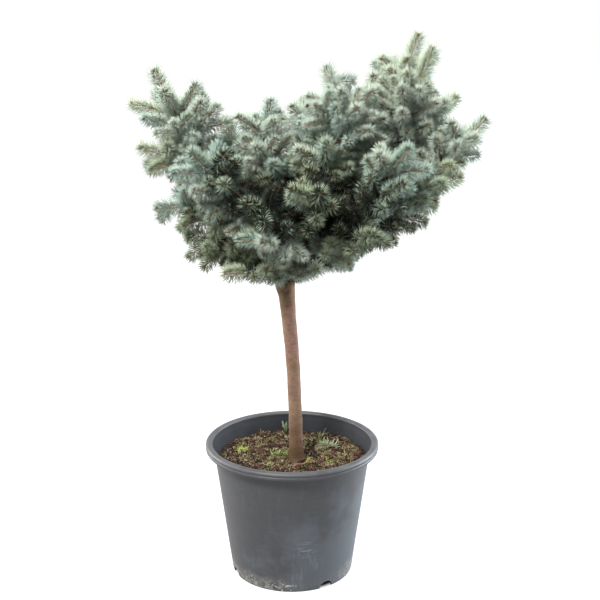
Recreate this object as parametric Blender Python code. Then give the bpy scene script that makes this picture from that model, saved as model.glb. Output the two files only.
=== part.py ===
"""Potted blue spruce: a globe spruce grafted on a short bare stem, in a black nursery pot.

Metres, +Z up. The origin is the centre of the pot's flat underside. Bearings are in degrees,
anticlockwise from +X, and the best side of the crown faces -Y.
"""

import math
import random

import bmesh
import bpy
from mathutils import Quaternion, Vector
from mathutils.bvhtree import BVHTree

CLEAR = 0.0003  # gap kept between solids that touch on the real plant
UP = Vector((0, 0, 1))

# Pot: a moulded 25 litre container with a rolled rim, a raised floor and a notched foot ring.
RIM_RADIUS = 0.185
POT_HEIGHT = 0.2915
BEAD_RADIUS = 0.0072
LIP_DROP = 0.0195
LIP_INSET = 0.0012
FOOT_RADIUS = 0.1285
BASE_RADIUS = 0.1310
BASE_HEIGHT = 0.006
SHOULDER_RADIUS = 0.1672
WALL = 0.0026
FLOOR_RISE = 0.017
HUB_RADIUS = 0.028
NOTCH_BEARINGS = (-58, -168, 66)
NOTCH_WIDTH = 0.036
NOTCH_HEIGHT = 0.013
POT_SEGMENTS = 44

# Substrate, filled to a little under the rim.
SOIL_LEVEL = 0.250
SOIL_BUMP = 0.0035
SOIL_SEGMENTS = 28

# Stem: height, offset in x and in y, radius. It swells at the graft, then goes on up as the leader.
TRUNK_STATIONS = (
    (SOIL_LEVEL + CLEAR, 0.0095, 0.000, 0.0195),
    (0.262, 0.0090, 0.000, 0.0165),
    (0.320, 0.0078, 0.000, 0.0146),
    (0.420, 0.0045, 0.000, 0.0144),
    (0.500, -0.0006, 0.000, 0.0146),
    (0.580, -0.0076, 0.000, 0.0158),
    (0.636, -0.0118, 0.000, 0.0184),
    (0.680, -0.0110, 0.000, 0.0172),
    (0.760, 0.0180, -0.010, 0.0125),
    (0.860, 0.0600, -0.020, 0.0098),
    (0.945, 0.0980, -0.030, 0.0075),
)
TRUNK_SIDES = 12
TRUNK_RINGS = 18

# Crown. A limb runs from the stem to the tip of its last shoot; the first part is a bare bough.
SEED = 8
BOUGH_SIDES = 5
BOUGH_RINGS = 6
BOUGH_FOOT_RADIUS = 0.0064
BOUGH_TIP_RADIUS = 0.0034
STEM_RADIUS = 0.0030
STEM_RINGS = 5
LIFTS = (0, 0.02, -0.02, 0.04, 0.06)
NUDGES = [(turn, lift) for turn in (0, 3, -3, 6, -6, 9, -9, 12, -12, 16, -16) for lift in LIFTS]
SPRAY_SPAN = 0.175  # length of a limb's leafy end

# Leaders that stand out of the crown's outline.
# name, bearing, reach and height of the tip, heading and rise of the last shoot, height of the foot,
# length of the last shoot, roll of the first whorl
LEADERS = (
    ("left_high", -178, 0.275, 1.080, -172, 64, 0.735, 0.116, 0),
    ("left_side", -171, 0.310, 0.926, -164, 18, 0.715, 0.082, 36),
    ("left_low", -167, 0.283, 0.807, -163, -12, 0.690, 0.074, 54),
    ("left_front", -137, 0.263, 0.938, -131, 34, 0.720, 0.080, 36),
    ("left_back", 142, 0.185, 0.970, 140, 60, 0.760, 0.074, 36),
    ("centre_left", -154, 0.045, 1.022, -21, 70, 0.800, 0.083, 36),
    ("right_high", 0, 0.282, 1.122, 0, 66, 0.800, 0.106, 36),
    ("right_back", 14, 0.268, 1.146, 3, 68, 0.780, 0.104, 36),
    ("right_side", 5, 0.341, 1.020, 8, 24, 0.770, 0.080, 54),
    ("right_tip", -3, 0.392, 0.984, -9, 46, 0.740, 0.086, 0),
    ("right_low", -8, 0.347, 0.870, -8, 18, 0.705, 0.075, 54),
    ("right_front", -38, 0.285, 0.945, -50, 40, 0.725, 0.080, 36),
)

# Sprays with no bough, which fill the top of the crown: the same numbers.
CROWNING = (
    ("centre_high", 0, 0.066, 1.084, 151, 71, 0.945, 0.112, 54),
    ("centre_right", 8, 0.178, 1.020, 10, 50, 0.915, 0.078, 36),
    ("centre_front", -62, 0.150, 0.950, -75, 30, 0.870, 0.075, 36),
    ("centre_back", 80, 0.130, 1.010, 90, 45, 0.885, 0.080, 36),
)

# Tiers of sprays set round the stem.
# name, count, first bearing, arc, shift to +X, reach, height, rise, foot height, shoot, whether on a bough
TIERS = (
    ("skirt", 5, -64, 360, -0.006, 0.176, 0.700, -12, 0.655, 0.060, False),
    ("lower", 6, -52, 360, 0.030, 0.262, 0.772, 2, 0.684, 0.068, True),
    ("middle", 3, -115, 70, 0.020, 0.270, 0.862, 20, 0.715, 0.072, True),
    ("back", 3, 48, 80, 0.025, 0.285, 0.890, 24, 0.735, 0.074, True),
)
CROWN_TILT = 0.10  # rise of the tiers towards +X
UNDERSIDE = (0.630, 0.42, 0.07)  # height under the stem, slope outwards, radius at which the slope starts
OVAL = (0.028, 0.376, 0.300)  # the crown seen from above: its middle in x, half its width, half its depth

# Rule by which a spray branches.
# share of the leafy end, side shoots, length as a share of the last shoot, spread and roll in degrees
WHORLS = (
    (0.00, 5, 0.92, 58, 0),
    (0.50, 4, 0.98, 62, 45),
    (0.88, 3, 0.92, 66, 60),
)
TWIG_LIFT = 0.12
OWN_SPACING = 0.68
SPACING = 0.58
TRIES = 4
NEEDLE_REACH = 0.0215
CORE_RADIUS = 0.0050
BARE_FOOT = 0.012
BLADES = 3
TEETH = 3
NOTCH_DEPTH = 0.62


def lerp(a, b, t):
    return a + (b - a) * t


def direction(bearing, rise):
    """Unit vector at a bearing and a rise above level, both in degrees."""
    b, r = math.radians(bearing), math.radians(rise)
    return Vector((math.cos(b) * math.cos(r), math.sin(b) * math.cos(r), math.sin(r)))


def material(name, colour, roughness):
    made = bpy.data.materials.new(name)
    made.use_nodes = True
    shader = made.node_tree.nodes["Principled BSDF"]
    shader.inputs["Base Color"].default_value = (*colour, 1)
    shader.inputs["Roughness"].default_value = roughness
    made.diffuse_color = (*colour, 1)
    return made


def add_object(name, bm, finish, smooth=False):
    """Turns a bmesh into a named object with its normals facing out."""
    bmesh.ops.recalc_face_normals(bm, faces=bm.faces)
    mesh = bpy.data.meshes.new(name)
    bm.to_mesh(mesh)
    bm.free()
    if smooth:
        mesh.shade_smooth()
        mesh.set_sharp_from_angle(angle=math.radians(40))
    if finish:
        mesh.materials.append(finish)
    made = bpy.data.objects.new(name, mesh)
    bpy.context.scene.collection.objects.link(made)
    return made


# Shapes


def revolve(profile, segments):
    """Closed solid turned round the Z axis from (radius, height) points; radius 0 makes a pole."""
    bm = bmesh.new()
    rings = []
    for radius, height in profile:
        if radius == 0:
            rings.append([bm.verts.new((0, 0, height))])
            continue
        turns = (2 * math.pi * i / segments for i in range(segments))
        rings.append([bm.verts.new((radius * math.cos(a), radius * math.sin(a), height)) for a in turns])
    for low, high in zip(rings, rings[1:]):
        bridge(bm, low, high)
    return bm


def bridge(bm, low, high):
    """Faces between two rings, either of which may be a single point."""
    count = max(len(low), len(high))
    for i in range(count):
        j = (i + 1) % count
        corners = [low[i % len(low)], low[j % len(low)], high[j % len(high)], high[i % len(high)]]
        bm.faces.new(list(dict.fromkeys(corners)))


def frames_along(points, start_normal=None):
    """A (tangent, side) pair at each point, turned as little as possible from one to the next."""
    tangents = []
    for i in range(len(points)):
        ahead, behind = points[min(i + 1, len(points) - 1)], points[max(i - 1, 0)]
        tangents.append((ahead - behind).normalized())
    if start_normal:
        tangents[0] = start_normal
    side = tangents[0].orthogonal().normalized()
    frames = [(tangents[0], side)]
    for before, tangent in zip(tangents, tangents[1:]):
        side = before.rotation_difference(tangent) @ side
        frames.append((tangent, side))
    return frames


def tube(points, radii, sides, start_normal=None):
    """Closed tapering tube along the points."""
    bm = bmesh.new()
    rings = []
    for point, radius, (tangent, side) in zip(points, radii, frames_along(points, start_normal)):
        ring = []
        for i in range(sides):
            outward = Quaternion(tangent, 2 * math.pi * i / sides) @ side
            ring.append(bm.verts.new(point + radius * outward))
        rings.append(ring)
    for low, high in zip(rings, rings[1:]):
        bridge(bm, low, high)
    bm.faces.new(rings[0])
    bm.faces.new(rings[-1])
    return bm


def smooth_path(stations, count):
    """Catmull-Rom curve through rows of numbers, read at evenly spaced places."""
    rows = [Vector(row) for row in stations]
    rows = [2 * rows[0] - rows[1], *rows, 2 * rows[-1] - rows[-2]]
    spans = len(rows) - 3
    made = []
    for i in range(count):
        place = spans * i / (count - 1)
        k = min(int(place), spans - 1)
        t = place - k
        a, b, c, d = rows[k : k + 4]
        bend = (2 * a - 5 * b + 4 * c - d) * t**2 + (3 * b - a - 3 * c + d) * t**3
        made.append(0.5 * (2 * b + (c - a) * t + bend))
    return made


def leafy_shoot(path, radii, tip, roll, start_normal=None):
    """A twig along the path, then a slim core with toothed blades of needles standing out all round it."""
    bm = bmesh.new()
    frames = frames_along([*path, tip], start_normal)
    frames[-2] = frames[-1] = ((tip - path[-1]).normalized(), frames[-2][1])
    rings = []
    for point, radius, (tangent, side) in zip(path, radii, frames):
        if radius == 0:
            rings.append([bm.verts.new(point)])
            continue
        rings.append([bm.verts.new(point + radius * spoke(tangent, side, roll, k)) for k in range(BLADES)])
    if len(rings[0]) > 1:
        bm.faces.new(rings[0])
    for low, high in zip(rings, rings[1:]):
        bridge(bm, low, high)
    tangent, side = frames[-1]
    end = bm.verts.new(tip)
    for k in range(BLADES):
        outward = spoke(tangent, side, roll, k + 0.5)
        edge = blade_outline((tip - path[-1]).length)
        blade = [bm.verts.new(path[-1] + tangent * s + outward * r) for s, r in edge]
        before, after = rings[-1][k], rings[-1][(k + 1) % BLADES]
        bm.faces.new([before, after, blade[0]])
        for low, high in zip(blade, [*blade[1:], end]):
            bm.faces.new([before, low, high])
            bm.faces.new([after, low, high])
    bmesh.ops.triangulate(bm, faces=bm.faces)
    return bm


def spoke(tangent, side, roll, k):
    """Unit vector square to the tangent, towards blade k."""
    turn = roll + 2 * math.pi * k / BLADES
    side = (side - tangent * side.dot(tangent)).normalized()
    return side * math.cos(turn) + tangent.cross(side) * math.sin(turn)


def blade_outline(length):
    """(distance, radius) along a blade's edge: needles slant forward to a point, then comes a notch."""
    first = min(NEEDLE_REACH * 0.6, length * 0.25)
    last = length - NEEDLE_REACH * 0.22
    edge = []
    for k in range(TEETH):
        share = k / (TEETH - 1)
        point = lerp(first, last, share)
        width = NEEDLE_REACH * (0.94 + 0.06 * math.sin(math.pi * share) - 0.34 * share**4)
        edge.append((point, width))
        if k < TEETH - 1:
            edge.append((point + NEEDLE_REACH * 0.16, width * NOTCH_DEPTH))
    return edge


# Room: what has been placed so far


class Room:
    """Keeps each spray to its own space, and its shoots from crowding."""

    def __init__(self):
        self.placed = []

    def add(self, owner, start, end, radius, bm, crowds=False):
        self.placed.append((owner, start, end, radius, BVHTree.FromBMesh(bm), crowds))

    def is_free(self, owner, start, end, radius, bm):
        """True if the shape touches nothing of another owner's, and is well apart from other shoots."""
        tree = BVHTree.FromBMesh(bm)
        for other, a, b, r, other_tree, crowds in self.placed:
            if other == owner and not crowds:
                continue
            outer = (start + end) / 2 if other == owner else start
            gap = segment_gap(outer, end, a, b)
            if crowds and gap < (radius + r) * (OWN_SPACING if other == owner else SPACING):
                return False
            if other != owner and gap < radius + r and tree.overlap(other_tree):
                return False
        return True

    def crossings(self, owner, bm):
        """How often a shape would cut through the owner's own shoots."""
        tree = BVHTree.FromBMesh(bm)
        return sum(len(tree.overlap(item[4])) for item in self.placed if item[0] == owner and item[5])


def segment_gap(p, q, a, b):
    """Shortest distance between segments p-q and a-b."""
    d1, d2, r = q - p, b - a, p - a
    e, f, g = d1.dot(d1), d2.dot(d2), d2.dot(r)
    c, m = d1.dot(r), d1.dot(d2)
    spread = e * f - m * m
    s = min(max((m * g - c * f) / spread, 0), 1) if spread > 1e-12 else 0
    t = (m * s + g) / f
    if t < 0:
        t, s = 0, min(max(-c / e, 0), 1)
    elif t > 1:
        t, s = 1, min(max((m - c) / e, 0), 1)
    return ((p + d1 * s) - (a + d2 * t)).length


# Pot and soil


def pot_profile():
    """(radius, height) points: the underside, the outer wall, the rim, then the inside."""
    bead_r, bead_z = RIM_RADIUS - BEAD_RADIUS, POT_HEIGHT - BEAD_RADIUS
    arc = [math.radians(a) for a in (0, 40, 80, 125, 170)]
    lip = RIM_RADIUS - LIP_INSET
    inner_top = SHOULDER_RADIUS - WALL
    foot_inside = FOOT_RADIUS - WALL
    return [
        (0, 0),
        (HUB_RADIUS, 0),
        (HUB_RADIUS, FLOOR_RISE),
        (foot_inside, FLOOR_RISE),
        (foot_inside, 0),
        (FOOT_RADIUS, 0),
        (BASE_RADIUS, BASE_HEIGHT),
        (SHOULDER_RADIUS, POT_HEIGHT - LIP_DROP + 0.004),
        (lip - 0.0022, POT_HEIGHT - LIP_DROP),
        (lip, POT_HEIGHT - LIP_DROP),
        *((bead_r + BEAD_RADIUS * math.cos(a), bead_z + BEAD_RADIUS * math.sin(a)) for a in arc),
        (inner_top, POT_HEIGHT - LIP_DROP),
        (foot_inside, FLOOR_RISE + WALL),
        (0, FLOOR_RISE + WALL),
    ]


def build_pot(finish):
    pot = add_object("pot", revolve(pot_profile(), POT_SEGMENTS), finish, smooth=True)
    for k, bearing in enumerate(NOTCH_BEARINGS):
        cutter = add_object(f"notch_cutter_{k}", notch_bmesh(), None)
        cutter.rotation_euler.z = math.radians(bearing)
        cutter.display_type = "WIRE"
        cutter.hide_render = True
        cut = pot.modifiers.new(f"notch_{k}", "BOOLEAN")
        cut.operation = "DIFFERENCE"
        cut.solver = "EXACT"
        cut.object = cutter
    return pot


def notch_bmesh():
    """A drainage notch's cutter: a round-topped bar that runs out through the foot ring."""
    half, height = NOTCH_WIDTH / 2, NOTCH_HEIGHT
    right = [(half, -0.01), (half, height * 0.55), (half * 0.6, height)]
    outline = right + [(-y, z) for y, z in reversed(right)]
    bm = bmesh.new()
    near = [bm.verts.new((FOOT_RADIUS - 0.012, y, z)) for y, z in outline]
    far = [bm.verts.new((BASE_RADIUS + 0.012, y, z)) for y, z in outline]
    bm.faces.new(near)
    bm.faces.new(far)
    bridge(bm, near, far)
    return bm


def build_soil(finish):
    """The substrate fills the pot; its top is lumpy, and level only where the stem stands."""
    share = (SOIL_LEVEL - BASE_HEIGHT) / (POT_HEIGHT - LIP_DROP)
    top_radius = lerp(FOOT_RADIUS, SHOULDER_RADIUS, share) - WALL
    bottom = FLOOR_RISE + WALL + CLEAR
    margin = CLEAR + (1 - math.cos(math.pi / POT_SEGMENTS)) * RIM_RADIUS
    rings = [(0, bottom), (FOOT_RADIUS - WALL - margin, bottom), (top_radius - margin, SOIL_LEVEL - 0.004)]
    rings += [(top_radius * share, SOIL_LEVEL) for share in (0.86, 0.62, 0.38, 0.20)] + [(0, SOIL_LEVEL)]
    bm = revolve(rings, SOIL_SEGMENTS)
    flat = top_radius * 0.25
    for vert in bm.verts:
        distance = math.hypot(vert.co.x, vert.co.y)
        if vert.co.z > SOIL_LEVEL - 0.001 and distance > flat:
            wave = math.sin(61 * vert.co.x + 1.3) * math.cos(53 * vert.co.y - 0.4) + math.sin(97 * vert.co.y)
            vert.co.z += SOIL_BUMP * (0.5 * wave - 0.5)
    return add_object("soil", bm, finish)


# Stem and limbs


def trunk_rows():
    """(x, y, z, radius) of each ring of the stem."""
    rows = smooth_path([(x, y, z, radius) for z, x, y, radius in TRUNK_STATIONS], TRUNK_RINGS)
    return [tuple(row) for row in rows]


def trunk_point(height):
    """Centre, radius and upward direction of the stem at a height."""
    rows = trunk_rows()
    low, high = rows[-2:]
    for before, after in zip(rows, rows[1:]):
        if height <= after[2]:
            low, high = before, after
            break
    t = min((height - low[2]) / (high[2] - low[2]), 1)
    centre = Vector(low[:3]).lerp(Vector(high[:3]), t)
    return centre, lerp(low[3], high[3], t), (Vector(high[:3]) - Vector(low[:3])).normalized()


def build_trunk(finish, room):
    points = [Vector(row[:3]) for row in trunk_rows()]
    radii = [row[3] for row in trunk_rows()]
    bm = tube(points, radii, TRUNK_SIDES, start_normal=UP)
    for low, high, radius in zip(points, points[1:], radii):
        room.add("trunk", low, high, radius, bm)
    return add_object("trunk", bm, finish, smooth=True)


class Limb:
    """A line from the stem to the tip of a leader, curved to leave the stem squarely."""

    def __init__(self, name, *numbers, seed, bare=True):
        self.name, self.bare = name, bare
        self.bearing, self.reach, self.height, self.heading, self.rise, *rest = numbers
        self.foot_height, self.shoot, self.roll = rest
        self.random = random.Random(seed)
        self.shoots = []

    def seat(self, foot, trunk_tree):
        """Moves a foot towards the stem until its rim is just clear."""
        radius = self.foot_radius() if self.bare else STEM_RADIUS
        side = self.out.orthogonal().normalized()
        spokes = [Quaternion(self.out, k) @ side * radius for k in range(7)]
        for step in range(4):
            gap = min(trunk_tree.find_nearest(foot + spoke)[3] for spoke in [Vector(), *spokes])
            foot = foot - self.out * (gap - CLEAR * 1.2)
        return foot

    def foot_radius(self):
        return min(BOUGH_FOOT_RADIUS, BOUGH_TIP_RADIUS + 0.018 * self.reach)

    def lay_out(self, turn, lift, trunk_tree):
        """Draws the limb, turned from its own bearing and with its foot moved up."""
        self.tip = direction(self.bearing + turn, 0) * self.reach + UP * self.height
        centre, radius, upward = trunk_point(self.foot_height + lift)
        out = self.tip - centre
        out = (direction(math.degrees(math.atan2(out.y, out.x)), 0)).cross(upward)
        self.out = upward.cross(out).normalized()
        if self.foot_height >= TRUNK_STATIONS[-1][0]:
            self.out, self.foot = upward, centre + upward * CLEAR
        else:
            self.foot = self.seat(centre + self.out * (radius + 0.004), trunk_tree)
        self.end = direction(self.heading + turn, self.rise)
        span = (self.tip - self.foot).length
        self.bends = (
            self.foot,
            self.foot + self.out * span * 0.34,
            self.tip - self.end * span * 0.42,
            self.tip,
        )
        self.line = [self.at(i / 60) for i in range(61)]
        self.length = sum((b - a).length for a, b in zip(self.line, self.line[1:]))
        self.span = min(SPRAY_SPAN, self.length * 0.75) if self.bare else self.length

    def at(self, t):
        a, b, c, d = self.bends
        return a * (1 - t) ** 3 + 3 * b * t * (1 - t) ** 2 + 3 * c * t * t * (1 - t) + d * t**3

    def along(self, distance):
        """Point and heading at a distance back from the tip."""
        left = distance
        for low, high in zip(self.line[-2::-1], self.line[::-1]):
            step = (high - low).length
            if left <= step:
                return high + (low - high) * (left / step), (high - low).normalized()
            left -= step
        return self.line[0].copy(), self.out.copy()

    def part(self, start, end, count):
        """Points from one distance back from the tip to another."""
        return [self.along(lerp(start, end, i / (count - 1)))[0] for i in range(count)]


def place_limb(limb, room):
    """Finds room for a limb, by turning it or moving its foot a little until it is clear."""
    for turn, lift in NUDGES:
        limb.lay_out(turn, lift, room.placed[0][4])
        shapes = [leading_shape(limb)] + ([bough_shape(limb)] if limb.bare else [])
        if all(room.is_free(limb.name, *part, bm) for parts, bm in shapes for part in parts):
            break
    else:
        print("no room for", limb.name)
    parts, bm = shapes[0]
    for part in parts:
        room.add(limb.name, *part, bm, crowds=part is parts[-1])
    for parts, bm in shapes[1:]:
        for part in parts:
            room.add("bough_" + limb.name, *part, bm)


def bough_shape(limb):
    """The bare length of a limb, which ends where the leafy spray takes over."""
    points = limb.part(limb.length, limb.span + CLEAR, BOUGH_RINGS)
    points[0] = limb.foot
    radii = [lerp(limb.foot_radius(), BOUGH_TIP_RADIUS, i / (BOUGH_RINGS - 1)) for i in range(BOUGH_RINGS)]
    return list(zip(points, points[1:], radii)), tube(points, radii, BOUGH_SIDES, start_normal=limb.out)


def leading_shape(limb):
    """The spray's own stem, which carries its whorls and ends in the last shoot."""
    points = limb.part(limb.span, limb.shoot - BARE_FOOT, STEM_RINGS)
    radii = [lerp(STEM_RADIUS, STEM_RADIUS * 0.7, i / (STEM_RINGS - 1)) for i in range(STEM_RINGS)]
    radii[-1] = CORE_RADIUS
    parts = list(zip(points, points[1:], radii))
    parts.append((limb.along(limb.shoot)[0], limb.tip - limb.end * (NEEDLE_REACH * 0.7), NEEDLE_REACH))
    return parts, leafy_shoot(points, radii, limb.tip, 0, None if limb.bare else limb.out)


# Sprays


def in_crown(point):
    """True inside the crown's oval and above its underside."""
    height, slope, start = UNDERSIDE
    middle, width, depth = OVAL
    low = height + CROWN_TILT * point.x + slope * max(math.hypot(point.x, point.y * 1.35) - start, 0)
    return point.z > low and ((point.x - middle) / width) ** 2 + (point.y / depth) ** 2 < 1


def grow_whorl(limb, whorl, room):
    """The side shoots of one whorl, without those that would leave the spray's space."""
    share, count, length_share, spread, roll = whorl
    place, heading = limb.along(lerp(limb.shoot, limb.span, share))
    down = (heading * heading.z - UP).normalized()
    for k in range(count):
        best = None
        for attempt in range(TRIES):
            stray = 8 + 5 * attempt
            turn = math.radians(limb.roll + roll + 360 * k / count + limb.random.uniform(-stray, stray))
            angle = math.radians(spread - 9 * math.cos(turn) + limb.random.uniform(-6, 6))
            length = limb.shoot * length_share * limb.random.uniform(0.9, 1.08) * (1 + 0.10 * math.cos(turn))
            away = Quaternion(heading, turn) @ down
            aim = (heading * math.cos(angle) + away * math.sin(angle) + UP * TWIG_LIFT).normalized()
            path = [place - aim * STEM_RADIUS * 0.6, place + aim * BARE_FOOT]
            bm = leafy_shoot(path, [0, CORE_RADIUS], place + aim * length, limb.random.uniform(0, 2))
            near, far = NEEDLE_REACH * 0.8, length - NEEDLE_REACH * 0.7
            part = (place + aim * near, place + aim * far, NEEDLE_REACH)
            if in_crown(place + aim * length) and room.is_free(limb.name, *part, bm):
                crossings = room.crossings(limb.name, bm)
                if best is None or crossings < best[0]:
                    best = (crossings, part, bm)
        if best:
            room.add(limb.name, *best[1], best[2], crowds=True)
            limb.shoots.append(best[2])


def build_spray(limb, finish):
    """One mass of foliage: the stem and every leafy shoot, fused into one solid."""
    spray = add_object("spray_" + limb.name, leading_shape(limb)[1], finish)
    twigs = bpy.data.collections.new("twigs_" + limb.name)
    bpy.context.scene.collection.children.link(twigs)
    for k, bm in enumerate(limb.shoots):
        twig = add_object(f"twig_{limb.name}_{k}", bm, finish)
        bpy.context.scene.collection.objects.unlink(twig)
        twigs.objects.link(twig)
    fuse = spray.modifiers.new("fuse", "BOOLEAN")
    fuse.operation = "UNION"
    fuse.operand_type = "COLLECTION"
    fuse.collection = twigs
    fuse.solver = "MANIFOLD"
    fused = bpy.data.meshes.new_from_object(spray.evaluated_get(bpy.context.evaluated_depsgraph_get()))
    keep_outer_shell(fused)
    spray.modifiers.clear()
    spray.data = fused
    for twig in list(twigs.objects):
        bpy.data.objects.remove(twig)
    bpy.data.collections.remove(twigs)
    return spray


def keep_outer_shell(mesh):
    """Fills hollows that fusing sealed and drops loose scraps, by keeping only the largest shell."""
    bm = bmesh.new()
    bm.from_mesh(mesh)
    bmesh.ops.triangulate(bm, faces=bm.faces)
    left, shells = set(bm.faces), []
    while left:
        shell, edge_of_search = set(), [left.pop()]
        while edge_of_search:
            face = edge_of_search.pop()
            shell.add(face)
            fresh = {other for edge in face.edges for other in edge.link_faces} & left
            left -= fresh
            edge_of_search += fresh
        shells.append(shell)
    shells.sort(key=shell_volume)
    scraps = [face for shell in shells[:-1] for face in shell]
    bmesh.ops.delete(bm, geom=scraps, context="FACES")
    bm.to_mesh(mesh)
    bm.free()


def shell_volume(shell):
    corners = ([v.co for v in face.verts] for face in shell)
    return sum(a.dot(b.cross(c)) for a, b, c in corners) / 6


def limbs_of_the_crown():
    """Every limb of the crown, from the named leaders and the tiers."""
    found = [Limb(*row, seed=SEED + 100 + k) for k, row in enumerate(LEADERS)]
    found += [Limb(*row, seed=SEED + 200 + k, bare=False) for k, row in enumerate(CROWNING)]
    for t, (name, count, first, arc, shift, reach, *rest) in enumerate(TIERS):
        height, rise, foot_height, shoot, bare = rest
        jitter = random.Random(SEED + 300 + t)
        for k in range(count):
            bearing = first + arc * k / (count if arc == 360 else count - 1) + jitter.uniform(-7, 7)
            tip = direction(bearing, 0) * reach * jitter.uniform(0.95, 1.05)
            tip.x += shift
            at, far = math.degrees(math.atan2(tip.y, tip.x)), tip.length
            high = height + CROWN_TILT * tip.x + jitter.uniform(-0.010, 0.010)
            foot = foot_height + 0.022 * (k % 2)
            row = (f"{name}_{k + 1}", at, far, high, bearing, rise, foot, shoot, 45)
            found.append(Limb(*row, seed=SEED + 1000 * (t + 1) + k, bare=bare))
    return found


def main():
    for obj in list(bpy.data.objects):
        bpy.data.objects.remove(obj)
    plastic = material("pot_plastic", (0.052, 0.058, 0.066), 0.5)
    earth = material("substrate", (0.075, 0.048, 0.032), 0.95)
    bark = material("bark", (0.30, 0.19, 0.13), 0.85)
    twig_bark = material("bough_bark", (0.30, 0.15, 0.07), 0.8)
    needles = material("needles", (0.27, 0.40, 0.39), 0.6)
    room = Room()
    build_pot(plastic)
    build_soil(earth)
    build_trunk(bark, room)
    crown = limbs_of_the_crown()
    for limb in crown:
        place_limb(limb, room)
        if limb.bare:
            add_object("bough_" + limb.name, bough_shape(limb)[1], twig_bark, smooth=True)
    for whorl in WHORLS:
        for limb in crown:
            grow_whorl(limb, whorl, room)
    for limb in crown:
        build_spray(limb, needles)


main()
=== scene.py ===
import math
import random

import bmesh
import bpy
import numpy as np
from mathutils import Matrix, Quaternion, Vector, noise
from mathutils.bvhtree import BVHTree


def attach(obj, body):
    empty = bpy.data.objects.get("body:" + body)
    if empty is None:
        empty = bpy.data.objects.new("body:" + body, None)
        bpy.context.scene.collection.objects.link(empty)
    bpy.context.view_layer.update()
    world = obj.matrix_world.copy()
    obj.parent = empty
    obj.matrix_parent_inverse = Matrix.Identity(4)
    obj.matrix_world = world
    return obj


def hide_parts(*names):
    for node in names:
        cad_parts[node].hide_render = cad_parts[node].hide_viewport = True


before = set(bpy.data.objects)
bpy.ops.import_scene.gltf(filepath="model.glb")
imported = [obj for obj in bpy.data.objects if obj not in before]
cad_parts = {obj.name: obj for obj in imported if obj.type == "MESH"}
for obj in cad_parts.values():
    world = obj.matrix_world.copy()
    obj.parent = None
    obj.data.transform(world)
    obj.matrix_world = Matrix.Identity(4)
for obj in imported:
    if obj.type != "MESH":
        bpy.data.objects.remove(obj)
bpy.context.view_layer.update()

# Potted blue spruce: a globe spruce grafted on a short bare stem, in a black nursery pot.
# Metres, +Z up. Bearings in degrees, anticlockwise from +X; the crown's best side faces -Y.

up = Vector((0, 0, 1))
goldenTurn = math.pi * (3 - math.sqrt(5))
sprayNodes = sorted(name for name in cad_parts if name.startswith("spray_"))
boughNodes = sorted(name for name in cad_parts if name.startswith("bough_"))


def lerp(a, b, t):
    return a + (b - a) * t


def steps(a, b, count):
    return [lerp(a, b, i / (count - 1)) for i in range(count)]


def clamp(share):
    return min(max(share, 0), 1)


def direction(bearing, rise):
    b, r = math.radians(bearing), math.radians(rise)
    return Vector((math.cos(b) * math.cos(r), math.sin(b) * math.cos(r), math.sin(r)))


# Camera and light

view = {
    "place": (0, -2.326, 1.217),
    "pitchDown": 0.2587,
    "yaw": -0.0073,
    "lens": 69.44,
    "sensor": 36,
    "clip": (0.05, 60),
}

studio = {
    "skyStrength": 0.40,
    "floorRadius": 14,
    "floorGlow": 0.92,
    "floorMirrored": 0.55,
    "floorShade": 0.30,
    "underPot": (0.118, 0.132),
    # name: place, size, watts, colour, what it is aimed at
    "softboxes": {
        "keySoftbox": ((-1.2, -2.0, 3.0), 1.0, 142, (1, 1, 1), (0, 0, 0.8)),
        "topSoftbox": ((0.5, 0.3, 3.4), 1.6, 60, (1, 1, 1), (0, 0, 0.8)),
        "leftSoftbox": ((-2.0, 0.9, 0.7), 1.4, 44, (1, 0.98, 0.96), (0, 0, 0.3)),
        "rightSoftbox": ((2.0, 0.6, 0.7), 1.4, 72, (0.84, 0.92, 1), (0, 0, 0.3)),
    },
}


def makeCamera():
    lens = bpy.data.cameras.new("camera")
    lens.lens, lens.sensor_width = view["lens"], view["sensor"]
    lens.clip_start, lens.clip_end = view["clip"]
    camera = newPiece("camera", lens)
    camera.location = view["place"]
    camera.rotation_euler = (math.pi / 2 - view["pitchDown"], 0, view["yaw"])
    bpy.context.scene.camera = camera


def makeStudio():
    sky = bpy.data.worlds.new("whiteStudio")
    sky.use_nodes = True
    tree = sky.node_tree
    rays = addNode(tree, "ShaderNodeLightPath").outputs
    seen = maths(tree, "MAXIMUM", rays["Is Camera Ray"], rays["Is Glossy Ray"])
    strength = ranged(tree, seen, 0, 1, "LINEAR", studio["skyStrength"])
    tree.nodes["Background"].inputs["Color"].default_value = (1, 1, 1, 1)
    tree.links.new(strength, tree.nodes["Background"].inputs["Strength"])
    bpy.context.scene.world = sky
    bpy.context.scene.view_settings.view_transform = "Standard"
    for name, (place, size, watts, colour, aim) in studio["softboxes"].items():
        light = bpy.data.lights.new(name, "AREA")
        light.shape, light.size, light.energy, light.color = "DISK", size, watts, colour
        box = newPiece(name, light)
        box.location = place
        box.rotation_euler = (Vector(aim) - Vector(place)).to_track_quat("-Z", "Y").to_euler()
    disc = bmesh.new()
    bmesh.ops.create_circle(disc, cap_ends=True, segments=96, radius=studio["floorRadius"])
    floor = newPiece("studioFloor", meshFrom(disc))
    floor.data.materials.append(floorPaper())


# Making pieces

def meshFrom(bm):
    mesh = bpy.data.meshes.new("made")
    bm.to_mesh(mesh)
    bm.free()
    return mesh


def meshOf(spots, faces):
    mesh = bpy.data.meshes.new("made")
    mesh.from_pydata(spots, [], faces)
    return mesh


def newPiece(name, shape):
    shape.name = name
    piece = bpy.data.objects.new(name, shape)
    bpy.context.scene.collection.objects.link(piece)
    return piece


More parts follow.
